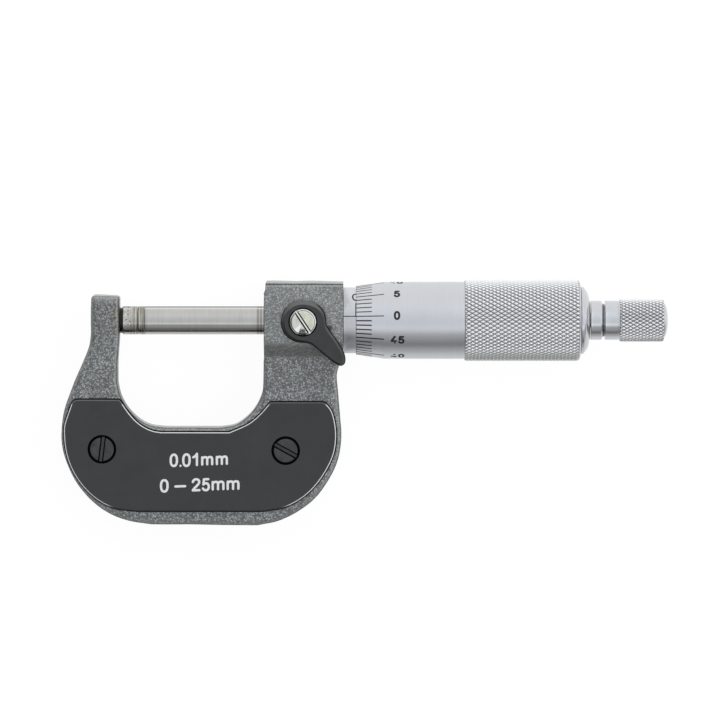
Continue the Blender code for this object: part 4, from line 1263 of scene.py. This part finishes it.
anvil = turned("anvil_body", [
    (-1.64, 0.0), (-1.64, 3.25), (-3.30, 3.25), (-3.44, 3.21), (-3.55, 3.10),
    (-3.60, 2.98), (-3.61, 2.92), (-4.60, 2.92), (-4.62, 2.80), (-9.3, 2.80),
    (-9.6, 2.5), (-9.6, 0.0)], ANVIL_STEEL, 128)
wear(anvil, "frame", "steel", "anvil")
anvil_face = turned("anvil_face", [
    (0.0, 0.0), (0.0, 3.10), (-0.03, 3.15), (-0.12, 3.23), (-0.17, 3.25),
    (-1.635, 3.25), (-1.635, 0.0)], CARBIDE, 128)
wear(anvil_face, "frame", "carbide", "anvil_tip")
spindle_face = turned("spindle_face", [
    (1.53, 0.0), (1.53, 3.20), (1.47, 3.25), (0.20, 3.25), (0.15, 3.23),
    (0.06, 3.15), (0.03, 3.10), (0.03, 0.0)], CARBIDE, 128)
wear(spindle_face, "measuring_face", "carbide", "spindle_tip")

# the spindle with its real thread: a helical grid, pitch 0.5
THREAD = (47.3, 86.9)


def build_spindle():
    n, step = 64, 0.125
    count = round((THREAD[1] - THREAD[0]) / step)
    theta = np.arange(n) / n
    rows = [(96.9, np.full(n, 2.35)), (98.0, np.full(n, 2.35)),
            (98.0, np.full(n, 3.00)), (90.0, np.full(n, 3.60)),
            (87.2, np.full(n, 3.60)), (87.0, np.full(n, 3.55))]
    for k in range(count + 1):
        x = THREAD[1] - (THREAD[1] - THREAD[0]) * k / count
        phase = x / 0.5 - theta
        tooth = np.abs(phase - np.round(phase)) * 2
        fade = min(1.0, (x - THREAD[0]) / 0.6, (THREAD[1] - x) / 0.6)
        rows.append((x, 3.62 - 0.27 * (1 - np.clip(tooth * 1.25 - 0.12, 0, 1)) * fade))
    for s, r in ((47.2, 3.55), (47.0, 3.45), (46.9, 3.25), (2.02, 3.25),
                 (1.98, 3.21), (1.92, 3.21), (1.88, 3.25), (1.62, 3.25),
                 (1.56, 3.20), (1.55, 0.4), (1.60, 0.3), (96.8, 0.3)):
        rows.append((s, np.full(n, float(r))))
    return grid_body("spindle_ground", rows, n, SPINDLE_STEEL, sharp=30.0)


wear(build_spindle(), "spindle_and_thimble", "steel", "spindle")

# ------------------------------------------------------------------ sleeve
sleeve = turned("sleeve_barrel", [
    (77.0, 7.50), (76.92, 7.56), (47.27, 7.56), (47.18, 7.52), (47.15, 7.44),
    (47.15, 6.80), (77.0, 6.80)], SATIN, 160)
cut(sleeve, turned("setting_hole", [(-6.3, 0.0), (-6.3, 0.6), (-9.0, 0.6),
                                    (-9.0, 0.0)], None, 40, "Z",
                   DATUM + Vector((48.45 * MM, 0.0, 0.0))))
applied(sleeve)
sleeve.data.materials.clear()
sleeve.data.materials.append(SATIN)
soften(sleeve, 30.0)
wear(sleeve, "frame", "satin_chrome", "sleeve")


def round_barrel(radius, angle=INDEX_ANGLE):
    """lay() for a barrel: y is measured round it, up from `angle`."""
    def lay(x, y, h):
        r = radius(x)
        a = math.radians(angle) + y / r
        return (x, (r + h) * math.sin(a), (r + h) * math.cos(a))
    return lay


scale = Inlay(round_barrel(lambda x: SLEEVE_R), 0.010, -0.03)
scale.stroke([(47.20 + 0.5 * k, 0.0) for k in range(58)], 0.22)
for k in range(51):
    x = 49.95 + 0.5 * k
    if k % 10 == 0:
        reach = (0.0, 3.15)
    elif k % 2 == 0:
        reach = (0.0, 2.15)
    else:
        reach = (0.0, -2.15)
    steps = 10
    scale.stroke([(x, reach[0] + (reach[1] - reach[0]) * i / steps)
                  for i in range(steps + 1)], 0.22)
for k in range(6):
    write(scale, str(5 * k), 49.93 + 5 * k, 5.00, 2.30, 0.34, centred=True, gap=0.30,
          wide=1.22)
wear(scale.build("sleeve_scale", BLACK_INK), "frame", "satin_chrome")


# ------------------------------------------------------------------ thimble
def bevel_radius(x):
    return 7.84 + (x - 50.0) * (8.80 - 7.84) / 6.4


def build_thimble():
    x0, x1 = KNURL_X

    def limit(x):
        left = KNURL_R - 0.30 + (x - x0) * 1.05
        t = max(0.0, x - 100.75)
        return min(KNURL_R, left, KNURL_R - 0.28 * t - 1.25 * t * t)

    m = 8
    knurled, split, columns = knurl(x0, x1, KNURL_R, 0.26, 60, 1.654, m, limit)
    flat = lambda r: np.full(columns, float(r))
    front = [(50.00, 7.72), (50.02, 7.75), (50.12, 7.855), (53.2, bevel_radius(53.2)),
             (56.30, bevel_radius(56.30)), (56.38, 8.797), (56.5, 8.805),
             (60.0, 8.82), (66.0, 8.84), (72.0, 8.85)]
    # three light tool rings before the knurl
    for c in (72.95, 73.45, 74.05):
        front += [(c - 0.12, 8.85), (c - 0.04, 8.832), (c + 0.04, 8.832),
                  (c + 0.12, 8.85)]
    front += [(74.45, 8.85), (74.60, 8.80), (74.86, 8.80)]
    rows = [(s, flat(r)) for s, r in front]
    first = len(rows)
    rows += knurled
    diagonal = {first + k: s for k, s in enumerate(split)}
    for s, r in ((101.52, 8.15), (101.56, 7.95), (101.60, 6.02), (92.0, 6.00),
                 (91.9, 7.70), (50.04, 7.69), (50.00, 7.705)):
        rows.append((s, flat(r)))
    return grid_body("thimble_shell", rows, columns, SATIN_KNURL, diagonal,
                     sharp=28.0)


wear(build_thimble(), "spindle_and_thimble", "satin_chrome", "thimble")


def thimble_radius(x):
    if x < 56.4:
        return bevel_radius(x)
    return 8.80 + 0.02 * min(1.0, (x - 56.4) / 3.6)


marks = Inlay(round_barrel(thimble_radius, THIMBLE_ANGLE), 0.010, -0.03)
for k in range(50):
    y_angle = math.radians(7.2 * k)
    end = 56.32 if k % 5 == 0 else 53.55
    xs = [50.10 + (end - 50.10) * i / 6 for i in range(7)]
    pairs = [(x, y_angle * thimble_radius(x)) for x in xs]
    marks.stroke(pairs, 0.22)
for k in range(10):
    # the figures are stamped by hand and stand a little off their lines
    off = (0.10, 0.14, 0.04, -0.06, 0.05, -0.02, 0.07, -0.05, -0.30, -0.16)[k]
    write(marks, str(5 * k), 59.42 + (0.07 if k > 7 else -0.05),
          math.radians(36.0 * k) * thimble_radius(59.42) + off,
          2.08, 0.49, centred=True, gap=0.40, wide=1.12)
wear(marks.build("thimble_scale", BLACK_INK), "spindle_and_thimble", "satin_chrome")

hub = turned("thimble_hub_dome", [
    (103.60, 2.20), (103.60, 4.55), (103.56, 4.66), (103.50, 5.10),
    (103.36, 5.75), (103.14, 6.34), (102.88, 6.82), (102.62, 7.16),
    (102.40, 7.38), (102.33, 7.42), (102.30, 7.58), (102.24, 7.68),
    (102.14, 7.72), (101.70, 7.74), (101.66, 7.70), (101.66, 5.90), (92.5, 5.90),
    (92.5, 3.50), (98.1, 3.08), (98.1, 2.20)], SATIN_SMALL, 160, sharp=30.0)
wear(hub, "spindle_and_thimble", "satin_chrome", "thimble_hub")

# ------------------------------------------------------------------ ratchet stop
stem = turned("ratchet_stem_turned", [
    (110.5, 0.0), (110.5, 0.95), (115.2, 0.95), (115.2, 1.5), (112.2, 1.5),
    (112.2, 1.90), (107.0, 1.90), (107.0, 3.72), (106.96, 3.77), (106.60, 3.77),
    (106.56, 3.84), (106.50, 4.20), (106.34, 4.36), (106.20, 4.48), (106.12, 4.50),
    (103.95, 4.50), (103.88, 4.48), (103.86, 4.44), (103.85, 4.38),
    (103.85, 1.80), (91.3, 1.80), (91.3, 0.0)], SATIN_SMALL, 128)
for k, s in enumerate((1, -1)):
    cut(stem, block_between(f"key_flat_{k}", (107.01, min(s * 1.4, s * 3), -3.0),
                            (113.5, max(s * 1.4, s * 3), 3.0)))
applied(stem)
stem.data.materials.clear()
stem.data.materials.append(SATIN_SMALL)
soften(stem, 30.0)
wear(stem, "spindle_and_thimble", "satin_chrome", "ratchet_stem")


def build_knob():
    x0, x1, top = 110.46, 120.65, 4.92

    def limit(x):
        left = top - 0.26 + (x - x0) * 1.0
        right = top - max(0.0, x - 120.33) * 1.0
        return min(top, left, right)

    m = 8
    knurled, split, columns = knurl(x0, x1, top, 0.27, 35, 1.54, m, limit)
    flat = lambda r: np.full(columns, float(r))
    rows = [(s, flat(r)) for s, r in (
        (107.10, 4.38), (107.11, 4.44), (107.14, 4.485), (107.20, 4.50),
        (110.05, 4.50), (110.16, 4.44), (110.40, 4.44))]
    first = len(rows)
    rows += knurled
    diagonal = {first + k: s for k, s in enumerate(split)}
    for s, r in ((120.65, 4.30), (120.58, 4.10), (120.58, 3.56), (107.2, 3.55),
                 (107.10, 3.65)):
        rows.append((s, flat(r)))
    return grid_body("ratchet_knob_shell", rows, columns, SATIN_KNOB, diagonal,
                     sharp=28.0)


wear(build_knob(), "ratchet_stop", "satin_chrome", "ratchet_knob")

cap = turned("ratchet_cap", [
    (121.58, 0.0), (121.57, 0.8), (121.54, 1.5), (121.46, 2.2), (121.33, 2.8),
    (121.16, 3.3), (121.00, 3.62), (120.88, 3.78), (120.78, 3.84),
    (120.70, 3.86), (120.70, 3.48), (118.5, 3.48), (118.5, 0.0)],
    SATIN_SMALL, 128, sharp=38.0)
wear(cap, "ratchet_stop", "satin_chrome", "ratchet_end_cap")

# ------------------------------------------------------------------ spindle lock
def build_lever():
    ring = lever_outline()
    flat = [(x, y) for x, y, w in ring]
    verts = []
    for z, share in ((8.15, 0.0), (9.62, 0.0), (9.86, 0.20), (10.54, 0.94),
                     (10.60, 1.05)):
        n = len(ring)
        for i, (x, y, w) in enumerate(ring):
            a, c = Vector(flat[i - 1]), Vector(flat[(i + 1) % n])
            d = (c - a).normalized()
            verts.append((x - d.y * w * share, y + d.x * w * share, z))
    faces = [tuple(range(n)), tuple(range(4 * n, 5 * n))]
    for k in range(4):
        for i in range(n):
            j = (i + 1) % n
            faces.append((k * n + i, k * n + j, (k + 1) * n + j, (k + 1) * n + i))
    return mesh_object("lock_lever_arm", verts, faces, ENAMEL, LOCK, 24.0)


lever = build_lever()
cut(lever, turned("lever_bore", [(12.0, 0.0), (12.0, 3.30), (9.45, 3.30),
                                 (9.45, 1.85), (7.0, 1.85), (7.0, 0.0)],
                  None, 96, "Z", LOCK))
applied(lever)
lever.data.materials.clear()
lever.data.materials.append(ENAMEL)
soften(lever, 24.0)
wear(lever, "clamp_lever", "black_lever", "lock_lever")

screw = turned("lock_screw_head", [
    (10.95, 0.0), (10.94, 1.9), (10.91, 2.35), (10.85, 2.62), (10.76, 2.82),
    (10.64, 2.96), (10.50, 3.03), (9.50, 3.03), (9.50, 1.12), (6.6, 1.12),
    (6.6, 0.0)], NICKEL, 128, "Z", LOCK)
cut(screw, slot_cutter("lock_slot", 0.30, 0.96, 10.25, 10.95,
                       math.radians(-56.4), LOCK))
applied(screw)
screw.data.materials.clear()
screw.data.materials.append(NICKEL)
soften(screw, 20.0)
wear(screw, "clamp_lever", "bright_plate", "lock_screw")

# ------------------------------------------------------------------ clutch spring
def coil_spring(name, x0, x1, radius, wire, turns, mat, per_turn=40, sides=12):
    """An open coil of round wire about the spindle's axis."""
    steps = int(turns * per_turn)
    verts, faces = [], []
    for k in range(steps + 1):
        a = 2 * math.pi * k / per_turn
        out = Vector((0.0, math.cos(a), math.sin(a)))
        along = Vector(((x1 - x0) / steps * per_turn / (2 * math.pi * radius),
                        -math.sin(a), math.cos(a))).normalized()
        across = along.cross(out).normalized()
        centre = Vector((x0 + (x1 - x0) * k / steps, 0.0, 0.0)) + out * radius
        for q in range(sides):
            b = 2 * math.pi * q / sides
            verts.append(centre + out * (wire * math.cos(b))
                         + across * (wire * math.sin(b)))
    for k in range(steps):
        a, b = k * sides, (k + 1) * sides
        for q in range(sides):
            r = (q + 1) % sides
            faces.append((a + q, a + r, b + r, b + q))
    faces.append(tuple(range(sides))[::-1])
    faces.append(tuple(steps * sides + q for q in range(sides)))
    return mesh_object(name, verts, faces, mat, DATUM, 60.0)


spring_low, spring_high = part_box("ratchet_spring")
start = (spring_low.x - DATUM.x) / MM + 0.25
end = (spring_high.x - DATUM.x) / MM - 0.25
spring = coil_spring("clutch_spring", start, end, 2.75, 0.25, 2.5, SPRING)
wear(spring, "spindle_and_thimble", "spring", "ratchet_spring")
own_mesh(spring)

# ------------------------------------------------------------------ CAD nodes kept
KEPT = {"threaded_bush": INNER_STEEL, "adjusting_nut": INNER_STEEL,
        "ratchet_clutch_ring": INNER_STEEL, "ratchet_wheel": INNER_STEEL,
        "ratchet_washer": INNER_STEEL, "ratchet_screw": INNER_STEEL,
        "lock_pad": BRASS, "lock_stud": INNER_STEEL}
for node, mat in KEPT.items():
    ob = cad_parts[node]
    for place in ob.material_slots:
        place.material = mat

for ob in work:
    bpy.data.objects.remove(ob, do_unlink=True)


# ------------------------------------------------------------------ the studio
def studio():
    floor_mesh = bpy.data.meshes.new("floor")
    s = 2.0
    floor_mesh.from_pydata([(-s, -s, -0.00005), (s, -s, -0.00005),
                            (s, s, -0.00005), (-s, s, -0.00005)], [], [(0, 1, 2, 3)])
    floor = bpy.data.objects.new("floor", floor_mesh)
    bpy.context.scene.collection.objects.link(floor)
    paper = bpy.data.materials.new("floor_paper")
    paper.use_nodes = True
    b = paper.node_tree.nodes["Principled BSDF"]
    b.inputs["Base Color"].default_value = (0.11, 0.11, 0.11, 1.0)
    b.inputs["Roughness"].default_value = 0.9
    b.inputs["Specular IOR Level"].default_value = 0.0
    b.inputs["Emission Color"].default_value = (1.0, 1.0, 1.0, 1.0)
    # the sheet is white to the eye and greyer to the metal over it
    g = paper.node_tree
    look = g.nodes.new("ShaderNodeLightPath")
    glow = g.nodes.new("ShaderNodeMapRange")
    glow.inputs["To Max"].default_value = 0.935
    place = g.nodes.new("ShaderNodeSeparateXYZ")
    g.links.new(g.nodes.new("ShaderNodeTexCoord").outputs["Object"], place.inputs[0])
    fall = g.nodes.new("ShaderNodeMapRange")
    for key, v in (("From Min", -0.055), ("From Max", 0.030), ("To Min", 0.40),
                   ("To Max", 0.90)):
        fall.inputs[key].default_value = v
    g.links.new(place.outputs["Y"], fall.inputs["Value"])
    g.links.new(fall.outputs["Result"], glow.inputs["To Min"])
    g.links.new(look.outputs["Is Camera Ray"], glow.inputs["Value"])
    g.links.new(glow.outputs["Result"], b.inputs["Emission Strength"])
    floor_mesh.materials.append(paper)

    # soft light as a ring of long panels: bright over the top of the picture,
    # even overhead, a bright strip low in front and dark beyond it
    world = bpy.data.worlds.new("studio")
    bpy.context.scene.world = world
    world.use_nodes = True
    t = world.node_tree
    back = t.nodes["Background"]
    coord = t.nodes.new("ShaderNodeTexCoord")
    split = t.nodes.new("ShaderNodeSeparateXYZ")
    t.links.new(coord.outputs["Generated"], split.inputs[0])
    angle = t.nodes.new("ShaderNodeMath")
    angle.operation = "ARCTAN2"
    t.links.new(split.outputs["Y"], angle.inputs[0])
    t.links.new(split.outputs["Z"], angle.inputs[1])
    span = t.nodes.new("ShaderNodeMapRange")
    span.inputs["From Min"].default_value = -math.pi
    span.inputs["From Max"].default_value = math.pi
    t.links.new(angle.outputs[0], span.inputs["Value"])
    ramp = t.nodes.new("ShaderNodeValToRGB")
    stops = [(-180, 0.99), (-150, 0.96), (-126, 0.88), (-106, 0.76), (-96, 0.63),
             (-88, 0.42), (-80, 0.22), (-72, 0.20), (-64, 0.31), (-54, 0.41),
             (-40, 0.44), (-34, 0.60), (-29, 0.85), (-23, 1.05), (-17, 0.86),
             (-8, 0.77), (2, 0.81), (12, 0.84), (34, 0.87), (60, 0.95), (180, 0.99)]
    cool = (0.975, 0.995, 1.03)
    elements = ramp.color_ramp.elements
    while len(elements) < len(stops):
        elements.new(0.5)
    for e, (deg, value) in zip(elements, stops):
        e.position = (deg + 180) / 360
        tint = cool if -30 <= deg <= 40 else (1.0, 1.0, 1.0)
        e.color = (value * tint[0], value * tint[1], value * tint[2], 1.0)
    t.links.new(span.outputs["Result"], ramp.inputs["Fac"])
    # a dark flag stands on the left and a bright panel on the right
    side = t.nodes.new("ShaderNodeValToRGB")
    steps = ((0.0, 0.14), (0.17, 0.14), (0.24, 0.52), (0.29, 1.04), (0.36, 1.26),
             (0.45, 1.0), (0.62, 1.0), (0.78, 1.30), (1.0, 1.30))
    while len(side.color_ramp.elements) < len(steps):
        side.color_ramp.elements.new(0.5)
    for e, (position, value) in zip(side.color_ramp.elements, steps):
        e.position = position
        e.color = (value, value, value, 1.0)
    across = t.nodes.new("ShaderNodeMapRange")
    across.inputs["From Min"].default_value = -1.0
    across.inputs["From Max"].default_value = 1.0
    t.links.new(split.outputs["X"], across.inputs["Value"])
    t.links.new(across.outputs["Result"], side.inputs["Fac"])
    # both stand only in front of the piece, not above or below it
    front = t.nodes.new("ShaderNodeMath")
    front.operation = "ABSOLUTE"
    t.links.new(angle.outputs[0], front.inputs[0])
    reach = t.nodes.new("ShaderNodeMapRange")
    reach.interpolation_type = "SMOOTHSTEP"
    for key, v in (("From Min", 0.65), ("From Max", 1.15), ("To Min", 1.0),
                   ("To Max", 0.0)):
        reach.inputs[key].default_value = v
    t.links.new(front.outputs[0], reach.inputs["Value"])
    tone = t.nodes.new("ShaderNodeMix")
    tone.data_type = "RGBA"
    tone.blend_type = "MULTIPLY"
    ins = [q for q in tone.inputs if q.enabled]
    t.links.new(reach.outputs["Result"], ins[0])
    t.links.new(ramp.outputs["Color"], ins[1])
    t.links.new(side.outputs["Color"], ins[2])
    seen = t.nodes.new("ShaderNodeLightPath")
    pale = t.nodes.new("ShaderNodeMix")
    pale.data_type = "RGBA"
    ins = [q for q in pale.inputs if q.enabled]
    t.links.new(seen.outputs["Is Camera Ray"], ins[0])
    t.links.new([q for q in tone.outputs if q.enabled][0], ins[1])
    ins[2].default_value = (1.0, 1.0, 1.0, 1.0)
    t.links.new([q for q in pale.outputs if q.enabled][0], back.inputs["Color"])
    back.inputs["Strength"].default_value = 1.0

    key_data = bpy.data.lights.new("key", "AREA")
    key_data.shape = "RECTANGLE"
    key_data.size, key_data.size_y = 0.9, 0.5
    key_data.energy = 0.10
    key = bpy.data.objects.new("key", key_data)
    bpy.context.scene.collection.objects.link(key)
    key.location = (0.15, 0.55, 0.75)
    key.rotation_euler = (Vector((0, 0, 0)) - key.location).to_track_quat("-Z", "Y").to_euler()

    cam_data = bpy.data.cameras.new("camera")
    cam_data.sensor_width = 36.0
    cam_data.lens = 310.0
    cam_data.clip_start, cam_data.clip_end = 0.05, 10.0
    cam = bpy.data.objects.new("camera", cam_data)
    bpy.context.scene.collection.objects.link(cam)
    width = 708 * 0.2297 * MM
    distance = width * cam_data.lens / cam_data.sensor_width
    tilt = math.radians(2.7)          # the picture is taken a little from above
    aim = Vector((DATUM.x + (354.0 - 138.3) * 0.2297 * MM,
                  DATUM.y + (320.3 - 354.0) * 0.2297 * MM / math.cos(tilt), DATUM.z))
    cam.location = aim + distance * Vector((0.0, math.sin(tilt), math.cos(tilt)))
    cam.rotation_euler = (-tilt, 0.0, 0.0)
    bpy.context.scene.camera = cam
    view = bpy.context.scene.view_settings
    view.view_transform = "Standard"
    view.look = "None"
    view.exposure = 0.0
    view.gamma = 1.0


studio()
bpy.context.view_layer.update()
